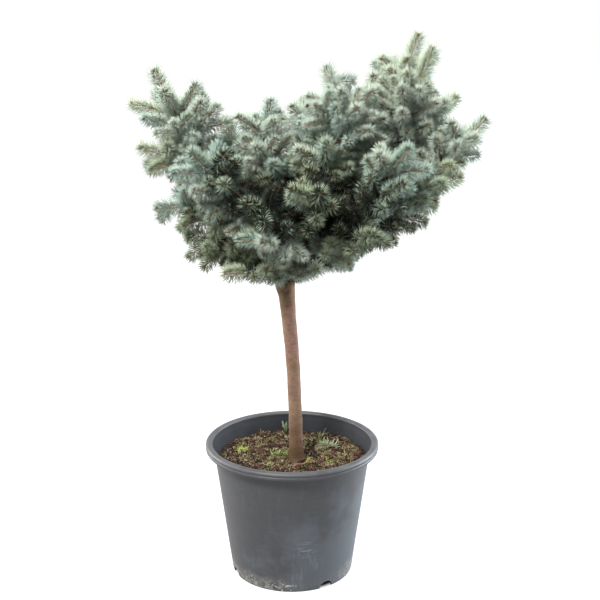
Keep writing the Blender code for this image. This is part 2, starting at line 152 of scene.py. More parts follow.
def keepPiece(piece, slotName, *nodes, smooth=True):
    if smooth:
        piece.data.shade_smooth()
    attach(piece, "root")
    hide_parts(*nodes)
    print(f"  {piece.name}: {sum(len(p.vertices) - 2 for p in piece.data.polygons)} triangles")


def dress(name, mesh, finish, slotName, *nodes):
    mesh.materials.append(finish)
    keepPiece(newPiece(name, mesh), slotName, *nodes)


def bakeShape(piece):
    # what the modifiers make of the piece becomes its own plain mesh
    mesh = bpy.data.meshes.new_from_object(piece.evaluated_get(bpy.context.evaluated_depsgraph_get()))
    piece.modifiers.clear()
    piece.data = mesh
    return mesh


def wallFaces(first, rings, sides):
    # the faces between rings of points that follow one another from the point numbered first
    lows = range(first, first + (rings - 1) * sides, sides)
    return [(low + k, low + (k + 1) % sides, low + sides + (k + 1) % sides, low + sides + k)
            for low in lows for k in range(sides)]


def loftMesh(rows):
    # rows: (first point, rings of points, last point); the two points close the ends
    spots, faces = [], []
    for start, rings, end in rows:
        first, sides = len(spots), len(rings[0])
        spots += [start, *(spot for ring in rings for spot in ring), end]
        last = len(spots) - 1
        faces += wallFaces(first + 1, len(rings), sides)
        for k in range(sides):
            n = (k + 1) % sides
            faces.append((first, first + 1 + n, first + 1 + k))
            faces.append((last, last - sides + k, last - sides + n))
    return meshOf(spots, faces)


def tubeMesh(tubes, sides):
    # tubes: (points, radii); a low cone closes each end
    rows = []
    for points, radii in tubes:
        rings, frames = ringsAlong(points, radii, sides)
        start = points[0] - frames[0][0] * radii[0] * 0.4
        rows.append((start, rings, points[-1] + frames[-1][0] * radii[-1] * 0.4))
    return loftMesh(rows)


def ringOf(bm, radius, height, count, turn=0.0):
    # height: a number, or a function of x and y
    ring = []
    for k in range(count):
        a = 2 * math.pi * k / count + turn
        x, y = radius * math.cos(a), radius * math.sin(a)
        ring.append(bm.verts.new((x, y, height(x, y) if callable(height) else height)))
    return ring


def bridge(bm, rings):
    for low, high in zip(rings, rings[1:]):
        count = max(len(low), len(high))
        for i in range(count):
            j = (i + 1) % count
            corners = [low[i % len(low)], low[j % len(low)], high[j % len(high)], high[i % len(high)]]
            bm.faces.new(list(dict.fromkeys(corners)))


def closeRings(bm, rings, capped=False):
    if capped:
        bm.faces.new(rings[0])
        bm.faces.new(rings[-1])
    bridge(bm, rings)
    bmesh.ops.recalc_face_normals(bm, faces=bm.faces)
    return bm


# Nodes

def addNode(tree, kind, inputs=None, **settings):
    node = tree.nodes.new(kind)
    for name, value in settings.items():
        setattr(node, name, value)
    for name, value in (inputs or {}).items():
        socket = node.inputs[name]
        if isinstance(value, bpy.types.NodeSocket):
            tree.links.new(value, socket)
        else:
            socket.default_value = value
    return node


def vectorOf(tree, x, y, z):
    return addNode(tree, "ShaderNodeCombineXYZ", {"X": x, "Y": y, "Z": z}).outputs[0]


def newTree(name, **sockets):
    # sockets: name = kind or (kind, value), in the order that the modifier shows them
    tree = bpy.data.node_groups.new(name, "GeometryNodeTree")
    tree.interface.new_socket("Geometry", in_out="INPUT", socket_type="NodeSocketGeometry")
    for label, value in sockets.items():
        kind, start = value if isinstance(value, tuple) else (value, None)
        item = tree.interface.new_socket(label, in_out="INPUT", socket_type="NodeSocket" + kind)
        if start is not None:
            item.default_value = start
    tree.interface.new_socket("Geometry", in_out="OUTPUT", socket_type="NodeSocketGeometry")
    return tree, tree.nodes.new("NodeGroupInput"), tree.nodes.new("NodeGroupOutput")


def runTree(piece, tree, **values):
    modifier = piece.modifiers.new(tree.name, "NODES")
    modifier.node_group = tree
    for item in tree.interface.items_tree:
        if item.in_out == "INPUT" and item.name in values:
            modifier[item.identifier] = values[item.name]
    bakeShape(piece)


def pointThings(tree, give, out, points, turn, scale, lift=None):
    # the thing stood on every point, as a plain mesh in its own finish
    thing = addNode(tree, "GeometryNodeObjectInfo", {"Object": give.outputs["Thing"]}).outputs["Geometry"]
    facing = addNode(tree, "FunctionNodeEulerToRotation", {"Euler": turn}).outputs[0]
    shape = addNode(tree, "GeometryNodeInstanceOnPoints", {
        "Points": points, "Instance": thing, "Rotation": facing, "Scale": scale,
    })
    if lift:
        shape = addNode(tree, "GeometryNodeTranslateInstances", {
            "Instances": shape.outputs[0], "Translation": vectorOf(tree, 0.0, 0.0, lift),
            "Local Space": False,
        })
    real = addNode(tree, "GeometryNodeRealizeInstances", {"Geometry": shape.outputs[0]})
    painted = addNode(tree, "GeometryNodeSetMaterial", {
        "Geometry": real.outputs[0], "Material": give.outputs["Finish"],
    })
    tree.links.new(painted.outputs[0], out.inputs[0])
    return tree


def standOnPointsTree():
    # a thing on each point, turned and sized by the point's own attributes
    tree, give, out = newTree("standOnPoints", Thing="Object", Finish="Material",
                              Length=("Float", 1.0), Girth=("Float", 1.0))
    turn, size = (addNode(tree, "GeometryNodeInputNamedAttribute", {"Name": name},
                          data_type="FLOAT_VECTOR").outputs[0] for name in ("turn", "size"))
    girth = give.outputs["Girth"]
    scale = addNode(tree, "ShaderNodeVectorMath", {
        0: size, 1: vectorOf(tree, girth, girth, give.outputs["Length"]),
    }, operation="MULTIPLY").outputs[0]
    return pointThings(tree, give, out, give.outputs["Geometry"], turn, scale)


def strewTree():
    # things strewn at random over a surface, lying on it
    tree, give, out = newTree(
        "strewOnSoil", Thing="Object", Finish="Material", PerSquareMetre=("Float", 100.0),
        Smallest=("Float", 0.5), Largest=("Float", 1.0), Tilt=("Float", 0.3), Lift=("Float", 0.0),
        Seed=("Int", 1),
    )
    given = give.outputs
    tilt, seed = given["Tilt"], given["Seed"]
    spots = addNode(tree, "GeometryNodeDistributePointsOnFaces", {
        "Mesh": given["Geometry"], "Density": given["PerSquareMetre"], "Seed": seed,
    }).outputs["Points"]
    low = maths(tree, "MULTIPLY", tilt, -1.0)
    turn = addNode(tree, "FunctionNodeRandomValue", {
        "Seed": seed, 0: vectorOf(tree, low, low, 0.0), 1: vectorOf(tree, tilt, tilt, 2 * math.pi),
    }, data_type="FLOAT_VECTOR").outputs[0]
    size = addNode(tree, "FunctionNodeRandomValue", {
        "Seed": seed, 2: given["Smallest"], 3: given["Largest"],
    }, data_type="FLOAT").outputs[1]
    return pointThings(tree, give, out, spots, turn, size, given["Lift"])


# Finishes

def newFinish(name, roughness, specular=0.5):
    finish = bpy.data.materials.new(name)
    finish.use_nodes = True
    tree = finish.node_tree
    shader = tree.nodes["Principled BSDF"]
    shader.inputs["Roughness"].default_value = roughness
    shader.inputs["Specular IOR Level"].default_value = specular
    return finish, tree, shader


def placeOnPiece(tree, scale=(1, 1, 1)):
    coords = addNode(tree, "ShaderNodeTexCoord")
    return addNode(tree, "ShaderNodeMapping", {"Vector": coords.outputs["Object"], "Scale": scale}).outputs[0]


def noiseNode(tree, where, scale, detail=4.0, roughness=0.55):
    return addNode(tree, "ShaderNodeTexNoise", {
        "Vector": where, "Scale": scale, "Detail": detail, "Roughness": roughness,
    }).outputs["Fac"]


def maths(tree, operation, a, b=0.0):
    return addNode(tree, "ShaderNodeMath", {0: a, 1: b}, operation=operation).outputs[0]


def ranged(tree, value, low, high, kind="SMOOTHSTEP", bottom=0.0, top=1.0):
    return addNode(tree, "ShaderNodeMapRange", {
        "Value": value, "From Min": low, "From Max": high, "To Min": bottom, "To Max": top,
    }, interpolation_type=kind).outputs[0]


def farFrom(tree, where, middle=(0, 0, 0)):
    return addNode(tree, "ShaderNodeVectorMath", {0: where, 1: middle}, operation="DISTANCE").outputs["Value"]


def ramp(tree, fac, *stops):
    # stops: (position, colour or grey)
    node = addNode(tree, "ShaderNodeValToRGB", {"Fac": fac})
    band = node.color_ramp
    while len(band.elements) < len(stops):
        band.elements.new(0.5)
    for element, (position, colour) in zip(band.elements, stops):
        element.position = position
        element.color = (*colour, 1) if isinstance(colour, tuple) else (colour, colour, colour, 1)
    return node.outputs["Color"]


def mixColours(tree, fac, a, b, blend="MIX"):
    node = addNode(tree, "ShaderNodeMix", data_type="RGBA", blend_type=blend)
    for index, value in ((0, fac), (6, a), (7, b)):
        if isinstance(value, bpy.types.NodeSocket):
            tree.links.new(value, node.inputs[index])
        elif isinstance(value, tuple):
            node.inputs[index].default_value = (*value, 1)
        else:
            node.inputs[index].default_value = value
    return node.outputs[2]


def bump(tree, shader, height, strength, distance):
    node = addNode(tree, "ShaderNodeBump", {"Height": height, "Strength": strength, "Distance": distance})
    tree.links.new(node.outputs[0], shader.inputs["Normal"])


def mottled(name, roughness, specular, grain, *stops, over=None, relief=None):
    # a colour that follows one noise; over: lays more on it; relief: noise, strength, distance
    finish, tree, shader = newFinish(name, roughness, specular)
    where = placeOnPiece(tree)
    tone = ramp(tree, noiseNode(tree, where, *grain), *stops)
    if over:
        tone = over(tree, where, tone)
    tree.links.new(tone, shader.inputs["Base Color"])
    if relief:
        fine, strength, distance = relief
        bump(tree, shader, noiseNode(tree, where, *fine), strength, distance)
    return finish


def floorPaper():
    finish, tree, shader = newFinish("studioPaper", 0.9, 0.1)
    shader.inputs["Base Color"].default_value = (*[studio["floorShade"]] * 3, 1)
    shader.inputs["Emission Color"].default_value = (1, 1, 1, 1)
    # it glows for the camera and in reflections, and not in the dark under the pot
    rays = addNode(tree, "ShaderNodeLightPath").outputs
    mirrored = maths(tree, "MULTIPLY", rays["Is Glossy Ray"], studio["floorMirrored"])
    seen = maths(tree, "MAXIMUM", rays["Is Camera Ray"], mirrored)
    away = ranged(tree, farFrom(tree, placeOnPiece(tree)), *studio["underPot"], "LINEAR")
    glow = maths(tree, "MULTIPLY", seen, away)
    tree.links.new(maths(tree, "MULTIPLY", glow, studio["floorGlow"]), shader.inputs["Emission Strength"])
    return finish


# The rule by which the plant grows. It is the rule of the solids, so the same limbs and main shoots
# come out; finer shoots are added to it further on.

growth = {
    "seed": 8,
    "clear": 0.0003,
    "boughFootRadius": 0.0064,
    "boughTipRadius": 0.0034,
    "boughRings": 6,
    "stemRadius": 0.0030,
    "stemRings": 5,
    "spraySpan": 0.175,
    "lifts": (0, 0.02, -0.02, 0.04, 0.06),
    "turns": (0, 3, -3, 6, -6, 9, -9, 12, -12, 16, -16),
    "crownTilt": 0.10,
    "underside": (0.630, 0.42, 0.07),
    "oval": (0.028, 0.376, 0.300),
    "twigLift": 0.12,
    "ownSpacing": 0.68,
    "spacing": 0.58,
    "tries": 4,
    "needleReach": 0.0215,
    "coreRadius": 0.0050,
    "bareFoot": 0.012,
    "blades": 3,
    "teeth": 3,
    "notchDepth": 0.62,
}

# share of the leafy end, side shoots, length as a share of the last shoot, spread and roll
whorls = (
    (0.00, 5, 0.92, 58, 0),
    (0.50, 4, 0.98, 62, 45),
    (0.88, 3, 0.92, 66, 60),
)

# height, offset in x and in y, radius; it swells at the graft and goes on up as the leader
trunkStations = (
    (0.2503, 0.0095, 0.000, 0.0195),
    (0.262, 0.0090, 0.000, 0.0165),
    (0.320, 0.0078, 0.000, 0.0146),
    (0.420, 0.0045, 0.000, 0.0144),
    (0.500, -0.0006, 0.000, 0.0146),
    (0.580, -0.0076, 0.000, 0.0158),
    (0.636, -0.0118, 0.000, 0.0184),
    (0.680, -0.0110, 0.000, 0.0172),
    (0.760, 0.0180, -0.010, 0.0125),
    (0.860, 0.0600, -0.020, 0.0098),
    (0.945, 0.0980, -0.030, 0.0075),
)
trunkSides = 12
trunkRings = 18

# name, bearing, reach and height of the tip, heading and rise of the last shoot, height of the foot,
# length of the last shoot, roll of the first whorl
leaders = (
    ("left_high", -178, 0.275, 1.080, -172, 64, 0.735, 0.116, 0),
    ("left_side", -171, 0.310, 0.926, -164, 18, 0.715, 0.082, 36),
    ("left_low", -167, 0.283, 0.807, -163, -12, 0.690, 0.074, 54),
    ("left_front", -137, 0.263, 0.938, -131, 34, 0.720, 0.080, 36),
    ("left_back", 142, 0.185, 0.970, 140, 60, 0.760, 0.074, 36),
    ("centre_left", -154, 0.045, 1.022, -21, 70, 0.800, 0.083, 36),
    ("right_high", 0, 0.282, 1.122, 0, 66, 0.800, 0.106, 36),
    ("right_back", 14, 0.268, 1.146, 3, 68, 0.780, 0.104, 36),
    ("right_side", 5, 0.341, 1.020, 8, 24, 0.770, 0.080, 54),
    ("right_tip", -3, 0.392, 0.984, -9, 46, 0.740, 0.086, 0),
    ("right_low", -8, 0.347, 0.870, -8, 18, 0.705, 0.075, 54),
    ("right_front", -38, 0.285, 0.945, -50, 40, 0.725, 0.080, 36),
)

# the same numbers, for sprays that stand straight on the stem
crowning = (
    ("centre_high", 0, 0.066, 1.084, 151, 71, 0.945, 0.112, 54),
    ("centre_right", 8, 0.178, 1.020, 10, 50, 0.915, 0.078, 36),
    ("centre_front", -62, 0.150, 0.950, -75, 30, 0.870, 0.075, 36),
    ("centre_back", 80, 0.130, 1.010, 90, 45, 0.885, 0.080, 36),
)

# name, count, first bearing, arc, shift to +X, reach, height, rise, foot height, shoot, whether on a bough
tiers = (
    ("skirt", 5, -64, 360, -0.006, 0.176, 0.700, -12, 0.655, 0.060, False),
    ("lower", 6, -52, 360, 0.030, 0.262, 0.772, 2, 0.684, 0.068, True),
    ("middle", 3, -115, 70, 0.020, 0.270, 0.862, 20, 0.715, 0.072, True),
    ("back", 3, 48, 80, 0.025, 0.285, 0.890, 24, 0.735, 0.074, True),
)


def smoothPath(stations, count):
    # Catmull-Rom curve through rows of numbers
    rows = [Vector(row) for row in stations]
    rows = [2 * rows[0] - rows[1], *rows, 2 * rows[-1] - rows[-2]]
    spans = len(rows) - 3
    made = []
    for i in range(count):
        place = spans * i / (count - 1)
        k = min(int(place), spans - 1)
        t = place - k
        a, b, c, d = rows[k : k + 4]
        bend = (2 * a - 5 * b + 4 * c - d) * t**2 + (3 * b - a - 3 * c + d) * t**3
        made.append(0.5 * (2 * b + (c - a) * t + bend))
    return made


def trunkRows(count=trunkRings):
    return [tuple(row) for row in smoothPath([(x, y, z, r) for z, x, y, r in trunkStations], count)]


coarseTrunk = trunkRows()


def trunkPoint(height):
    low, high = coarseTrunk[-2:]
    for before, after in zip(coarseTrunk, coarseTrunk[1:]):
        if height <= after[2]:
            low, high = before, after
            break
    t = min((height - low[2]) / (high[2] - low[2]), 1)
    centre = Vector(low[:3]).lerp(Vector(high[:3]), t)
    return centre, lerp(low[3], high[3], t), (Vector(high[:3]) - Vector(low[:3])).normalized()


def framesAlong(points, startNormal=None):
    tangents = []
    for i in range(len(points)):
        ahead, behind = points[min(i + 1, len(points) - 1)], points[max(i - 1, 0)]
        tangents.append((ahead - behind).normalized())
    if startNormal:
        tangents[0] = startNormal
    side = tangents[0].orthogonal().normalized()
    frames = [(tangents[0], side)]
    for before, tangent in zip(tangents, tangents[1:]):
        side = before.rotation_difference(tangent) @ side
        frames.append((tangent, side))
    return frames


def ringsAlong(points, radii, sides, startNormal=None):
    frames = framesAlong(points, startNormal)
    turns = [2 * math.pi * k / sides for k in range(sides)]
    rings = [[point + Quaternion(tangent, a) @ side * radius for a in turns]
             for point, radius, (tangent, side) in zip(points, radii, frames)]
    return rings, frames


def tubeShape(points, radii, sides, startNormal=None):
    bm = bmesh.new()
    rings = ringsAlong(points, radii, sides, startNormal)[0]
    return closeRings(bm, [[bm.verts.new(spot) for spot in ring] for ring in rings], capped=True)


def spoke(tangent, side, roll, k):
    turn = roll + 2 * math.pi * k / growth["blades"]
    side = (side - tangent * side.dot(tangent)).normalized()
    return side * math.cos(turn) + tangent.cross(side) * math.sin(turn)


def bladeOutline(length):
    reach, teeth = growth["needleReach"], growth["teeth"]
    edge = []
    for share in steps(0, 1, teeth):
        point = lerp(min(reach * 0.6, length * 0.25), length - reach * 0.22, share)
        width = reach * (0.94 + 0.06 * math.sin(math.pi * share) - 0.34 * share**4)
        edge += [(point, width), (point + reach * 0.16, width * growth["notchDepth"])]
    return edge[:-1]


def shootSpace(path, radii, tip, roll, startNormal=None):
    # the room that a shoot takes: a twig, then a slim core with toothed blades round it
    bm = bmesh.new()
    count = growth["blades"]
    frames = framesAlong([*path, tip], startNormal)
    frames[-2] = frames[-1] = ((tip - path[-1]).normalized(), frames[-2][1])
    rings = []
    for point, radius, (tangent, side) in zip(path, radii, frames):
        if radius == 0:
            rings.append([bm.verts.new(point)])
            continue
        rings.append([bm.verts.new(point + radius * spoke(tangent, side, roll, k)) for k in range(count)])
    if len(rings[0]) > 1:
        bm.faces.new(rings[0])
    bridge(bm, rings)
    tangent, side = frames[-1]
    end = bm.verts.new(tip)
    for k in range(count):
        outward = spoke(tangent, side, roll, k + 0.5)
        edge = bladeOutline((tip - path[-1]).length)
        blade = [bm.verts.new(path[-1] + tangent * s + outward * r) for s, r in edge]
        before, after = rings[-1][k], rings[-1][(k + 1) % count]
        bm.faces.new([before, after, blade[0]])
        for low, high in zip(blade, [*blade[1:], end]):
            bm.faces.new([before, low, high])
            bm.faces.new([after, low, high])
    bmesh.ops.triangulate(bm, faces=bm.faces)
    return bm


def segmentGap(p, q, a, b):
    d1, d2, r = q - p, b - a, p - a
    e, f, g = d1.dot(d1), d2.dot(d2), d2.dot(r)
    c, m = d1.dot(r), d1.dot(d2)
    spread = e * f - m * m
    s = clamp((m * g - c * f) / spread) if spread > 1e-12 else 0
    t = (m * s + g) / f
    if t < 0:
        t, s = 0, clamp(-c / e)
    elif t > 1:
        t, s = 1, clamp((m - c) / e)
    return ((p + d1 * s) - (a + d2 * t)).length


class Room:
    # keeps each spray to its own space, and its shoots from crowding

    def __init__(self):
        self.placed = []

    def add(self, owner, start, end, radius, bm, crowds=False):
        self.placed.append((owner, start, end, radius, BVHTree.FromBMesh(bm), crowds))

    def isFree(self, owner, start, end, radius, bm):
        tree = BVHTree.FromBMesh(bm)
        for other, a, b, r, otherTree, crowds in self.placed:
            if other == owner and not crowds:
                continue
            outer = (start + end) / 2 if other == owner else start
            gap = segmentGap(outer, end, a, b)
            apart = growth["ownSpacing"] if other == owner else growth["spacing"]
            if crowds and gap < (radius + r) * apart:
                return False
            if other != owner and gap < radius + r and tree.overlap(otherTree):
                return False
        return True

    def crossings(self, owner, bm):
        tree = BVHTree.FromBMesh(bm)
        return sum(len(tree.overlap(item[4])) for item in self.placed if item[0] == owner and item[5])


class Limb:
    # a line from the stem to the tip of a leader, curved to leave the stem squarely

    def __init__(self, name, *numbers, seed, bare=True):
        self.name, self.bare = name, bare
        self.bearing, self.reach, self.height, self.heading, self.rise, *rest = numbers
        self.footHeight, self.shoot, self.roll = rest
        self.random = random.Random(seed)

    def seat(self, foot, trunkTree):
        radius = self.footRadius() if self.bare else growth["stemRadius"]
        side = self.out.orthogonal().normalized()
        spokes = [Quaternion(self.out, k) @ side * radius for k in range(7)]
        for _ in range(4):
            gap = min(trunkTree.find_nearest(foot + spot)[3] for spot in [Vector(), *spokes])
            foot = foot - self.out * (gap - growth["clear"] * 1.2)
        return foot

    def footRadius(self):
        return min(growth["boughFootRadius"], growth["boughTipRadius"] + 0.018 * self.reach)

    def layOut(self, turn, lift, trunkTree):
        self.tip = direction(self.bearing + turn, 0) * self.reach + up * self.height
        centre, radius, upward = trunkPoint(self.footHeight + lift)
        out = self.tip - centre
        out = (direction(math.degrees(math.atan2(out.y, out.x)), 0)).cross(upward)
        self.out = upward.cross(out).normalized()
        if self.footHeight >= trunkStations[-1][0]:
            self.out, self.foot = upward, centre + upward * growth["clear"]
        else:
            self.foot = self.seat(centre + self.out * (radius + 0.004), trunkTree)
        self.end = direction(self.heading + turn, self.rise)
        span = (self.tip - self.foot).length
        nearFoot, nearTip = self.foot + self.out * span * 0.34, self.tip - self.end * span * 0.42
        self.bends = (self.foot, nearFoot, nearTip, self.tip)
        self.line = [self.at(share) for share in steps(0, 1, 61)]
        self.length = sum((b - a).length for a, b in zip(self.line, self.line[1:]))
        self.span = min(growth["spraySpan"], self.length * 0.75) if self.bare else self.length

    def at(self, t):
        a, b, c, d = self.bends
        return a * (1 - t) ** 3 + 3 * b * t * (1 - t) ** 2 + 3 * c * t * t * (1 - t) + d * t**3

    def along(self, distance):
        # point and heading at a distance back from the tip
        left = distance
        for low, high in zip(self.line[-2::-1], self.line[::-1]):
            step = (high - low).length
            if left <= step:
                return high + (low - high) * (left / step), (high - low).normalized()
            left -= step
        return self.line[0].copy(), self.out.copy()

    def part(self, start, end, count):
        return [self.along(distance)[0] for distance in steps(start, end, count)]

    def boughLine(self, rings):
        return [self.foot, *self.part(self.length, self.span + growth["clear"], rings)[1:]]

    def boughShape(self):
        points = self.boughLine(growth["boughRings"])
        radii = steps(self.footRadius(), growth["boughTipRadius"], len(points))
        return list(zip(points, points[1:], radii)), tubeShape(points, radii, 5, self.out)

    def leadingShape(self):
        radius, reach = growth["stemRadius"], growth["needleReach"]
        points = self.part(self.span, self.shoot - growth["bareFoot"], growth["stemRings"])
        radii = [*steps(radius, radius * 0.7, len(points))[:-1], growth["coreRadius"]]
        parts = list(zip(points, points[1:], radii))
        parts.append((self.along(self.shoot)[0], self.tip - self.end * (reach * 0.7), reach))
        return parts, shootSpace(points, radii, self.tip, 0, None if self.bare else self.out)


def placeLimb(limb, room):
    for turn, lift in [(turn, lift) for turn in growth["turns"] for lift in growth["lifts"]]:
        limb.layOut(turn, lift, room.placed[0][4])
        shapes = [limb.leadingShape()] + ([limb.boughShape()] if limb.bare else [])
        if all(room.isFree(limb.name, *part, bm) for parts, bm in shapes for part in parts):
            break
    parts, bm = shapes[0]
    for part in parts:
        room.add(limb.name, *part, bm, crowds=part is parts[-1])
    for parts, bm in shapes[1:]:
        for part in parts:
            room.add("bough_" + limb.name, *part, bm)


def inCrown(point, margin=0.0):
    height, slope, start = growth["underside"]
    middle, width, depth = growth["oval"]
    low = height + growth["crownTilt"] * point.x
    low += slope * max(math.hypot(point.x, point.y * 1.35) - start, 0) - margin
    across = ((point.x - middle) / (width + margin)) ** 2 + (point.y / (depth + margin)) ** 2
    return point.z > low and across < 1


class Shoot:
    # one year's growth: a needled twig with a bud at its tip; rank counts the branchings

    def __init__(self, start, aim, length, rank, age=0.0):
        self.start, self.aim, self.length, self.rank, self.age = start, aim, length, rank, age

    def at(self, share):
        return self.start + self.aim * self.length * share


def sideways(heading, roll, angle):
    # the way of a side shoot, rolled from the underside and leaning away from the heading
    away = Quaternion(heading, roll) @ (heading * heading.z - up).normalized()
    return (heading * math.cos(angle) + away * math.sin(angle) + up * growth["twigLift"]).normalized()


def growWhorl(limb, whorl, room, shoots):
    share, count, lengthShare, spread, roll = whorl
    reach = growth["needleReach"]
    place, heading = limb.along(lerp(limb.shoot, limb.span, share))
    for k in range(count):
        best = None
        for attempt in range(growth["tries"]):
            stray = 8 + 5 * attempt
            turn = math.radians(limb.roll + roll + 360 * k / count + limb.random.uniform(-stray, stray))
            angle = math.radians(spread - 9 * math.cos(turn) + limb.random.uniform(-6, 6))
            length = limb.shoot * lengthShare * limb.random.uniform(0.9, 1.08) * (1 + 0.10 * math.cos(turn))
            aim = sideways(heading, turn, angle)
            path = [place - aim * growth["stemRadius"] * 0.6, place + aim * growth["bareFoot"]]
            bm = shootSpace(path, [0, growth["coreRadius"]], place + aim * length, limb.random.uniform(0, 2))
            near, far = reach * 0.8, length - reach * 0.7
            part = (place + aim * near, place + aim * far, reach)
            if inCrown(place + aim * length) and room.isFree(limb.name, *part, bm):
                crossings = room.crossings(limb.name, bm)
                if best is None or crossings < best[0]:
                    best = (crossings, part, bm, Shoot(place, aim, length, 1, share))
        if best:
            room.add(limb.name, *best[1], best[2], crowds=True)
            shoots.append(best[3])


def crownLimbs():
    seed = growth["seed"]
    found = [Limb(*row, seed=seed + 100 + k) for k, row in enumerate(leaders)]
    found += [Limb(*row, seed=seed + 200 + k, bare=False) for k, row in enumerate(crowning)]
    for t, (name, count, first, arc, shift, reach, *rest) in enumerate(tiers):
        height, rise, footHeight, shoot, bare = rest
        jitter = random.Random(seed + 300 + t)
        for k in range(count):
            bearing = first + arc * k / (count if arc == 360 else count - 1) + jitter.uniform(-7, 7)
            tip = direction(bearing, 0) * reach * jitter.uniform(0.95, 1.05)
            tip.x += shift
            at, far = math.degrees(math.atan2(tip.y, tip.x)), tip.length
            high = height + growth["crownTilt"] * tip.x + jitter.uniform(-0.010, 0.010)
            foot = footHeight + 0.022 * (k % 2)
            row = (f"{name}_{k + 1}", at, far, high, bearing, rise, foot, shoot, 45)
            found.append(Limb(*row, seed=seed + 1000 * (t + 1) + k, bare=bare))
    return found


def growCrown():
    room = Room()
    points = [Vector(row[:3]) for row in coarseTrunk]
    radii = [row[3] for row in coarseTrunk]
    bm = tubeShape(points, radii, trunkSides, up)
    for low, high, radius in zip(points, points[1:], radii):
        room.add("trunk", low, high, radius, bm)
    limbs = crownLimbs()
    for limb in limbs:
        placeLimb(limb, room)
    shoots = []
    for limb in limbs:
        start = limb.along(limb.shoot)[0]
        shoots.append(Shoot(start, (limb.tip - start).normalized(), limb.shoot, 0))
    for whorl in whorls:
        for limb in limbs:
            growWhorl(limb, whorl, room, shoots)
    print(f"  {len(limbs)} limbs, {len(shoots)} main shoots")
    return limbs, shoots, room


# Finer shoots, grown on from the same limbs within the same reach

fineGrowth = {
    "seed": 4,
    # share of the leafy end, side shoots, length as a share of the last shoot, spread and roll
    "betweenWhorls": (
        (0.30, 4, 0.84, 60, 18),
        (0.72, 5, 0.88, 64, 30),
        (0.96, 5, 0.84, 66, 10),
    ),
    # on an older shoot: place, count, length, spread
    "sideShoots": ((0.34, 3, 0.70, 52), (0.62, 2, 0.55, 48)),
    # shoots at one place, their spread and length, steps along the bough and spacing
    "alongBoughs": (3, 62, 0.064, 0.018, 0.46),
    # how far they keep from the spray and from the stem
    "boughEnds": (0.012, 0.020),
    # share of the leafy end behind which shoots branch again
    "branchingAge": 0.4,
    "shortest": 0.032,
    "spacing": 0.52,
    "limbClear": 0.010,
    "tries": 5,
    "margin": 0.004,
    # single sprays off a bough: limb, how far out along it, tip
    "placed": (
        ("centre_left", 0.78, (-0.016, -0.030, 0.998)),
        ("centre_left", 0.66, (-0.078, -0.010, 0.990)),
        ("centre_high", 0.74, (0.132, -0.005, 1.050)),
        ("lower_5", 0.60, (-0.180, -0.080, 0.682)),
        ("lower_5", 0.74, (-0.212, -0.060, 0.698)),
        ("lower_5", 0.88, (-0.217, -0.045, 0.733)),
        ("left_low", 0.70, (-0.229, -0.045, 0.752)),
        ("left_low", 0.88, (-0.264, -0.055, 0.772)),
        ("skirt_4", 0.92, (-0.200, 0.055, 0.682)),
        ("right_low", 0.55, (0.206, -0.045, 0.732)),
        ("lower_1", 0.94, (0.188, -0.185, 0.752)),
        ("lower_6", 0.62, (0.034, -0.190, 0.730)),
        ("lower_6", 0.90, (-0.026, -0.238, 0.764)),
        ("lower_6", 0.85, (-0.110, -0.185, 0.768)),
    ),
    # middle and radius of the places where sky shows and no finer shoot ends
    "open": (
        ((-0.010, -0.060, 0.632), 0.040),
        ((-0.070, -0.040, 0.635), 0.045),
        ((0.075, -0.030, 0.655), 0.045),
        ((0.360, -0.010, 0.855), 0.045),
        ((-0.300, 0.005, 0.945), 0.035),
        ((0.310, 0.110, 1.030), 0.040),
        ((-0.150, 0.020, 1.045), 0.030),
        ((-0.265, -0.060, 0.865), 0.030),
        ((0.300, -0.010, 0.755), 0.030),
    ),
}

# shoots that end at these places are cut back: place, share of the length kept
cutWithin = 0.006
cutBack = (
    ((0.322, -0.056, 1.080), 0.42),
    ((0.332, 0.037, 1.084), 0.42),
    ((0.316, 0.081, 1.071), 0.68),
    ((0.306, 0.041, 1.104), 0.70),
    ((0.317, -0.038, 0.798), 0.75),
    ((0.168, -0.061, 0.696), 0.65),
    ((0.195, 0.128, 1.103), 0.80),
    ((0.165, 0.045, 1.107), 0.85),
    ((0.073, -0.101, 0.681), 0.60),
    ((0.062, -0.172, 0.703), 0.65),
    ((0.115, -0.002, 0.657), 0.70),
    ((0.008, -0.024, 1.036), 0.84),
    ((-0.281, -0.064, 0.956), 0.80),
    ((-0.057, 0.028, 0.639), 0.60),
    ((0.385, -0.051, 0.901), 0.55),
    ((0.185, -0.025, 0.698), 0.65),
    ((0.170, 0.029, 0.696), 0.70),
    ((0.152, -0.003, 0.679), 0.75),
    ((-0.074, -0.099, 0.662), 0.70),
    ((-0.294, -0.068, 0.874), 0.85),
    ((-0.268, -0.005, 0.856), 0.80),
    ((-0.106, 0.025, 0.989), 0.85),
    ((0.331, 0.033, 1.040), 0.30),
    ((-0.075, 0.006, 0.647), 0.60),
    ((0.137, -0.106, 0.721), 0.80),
)


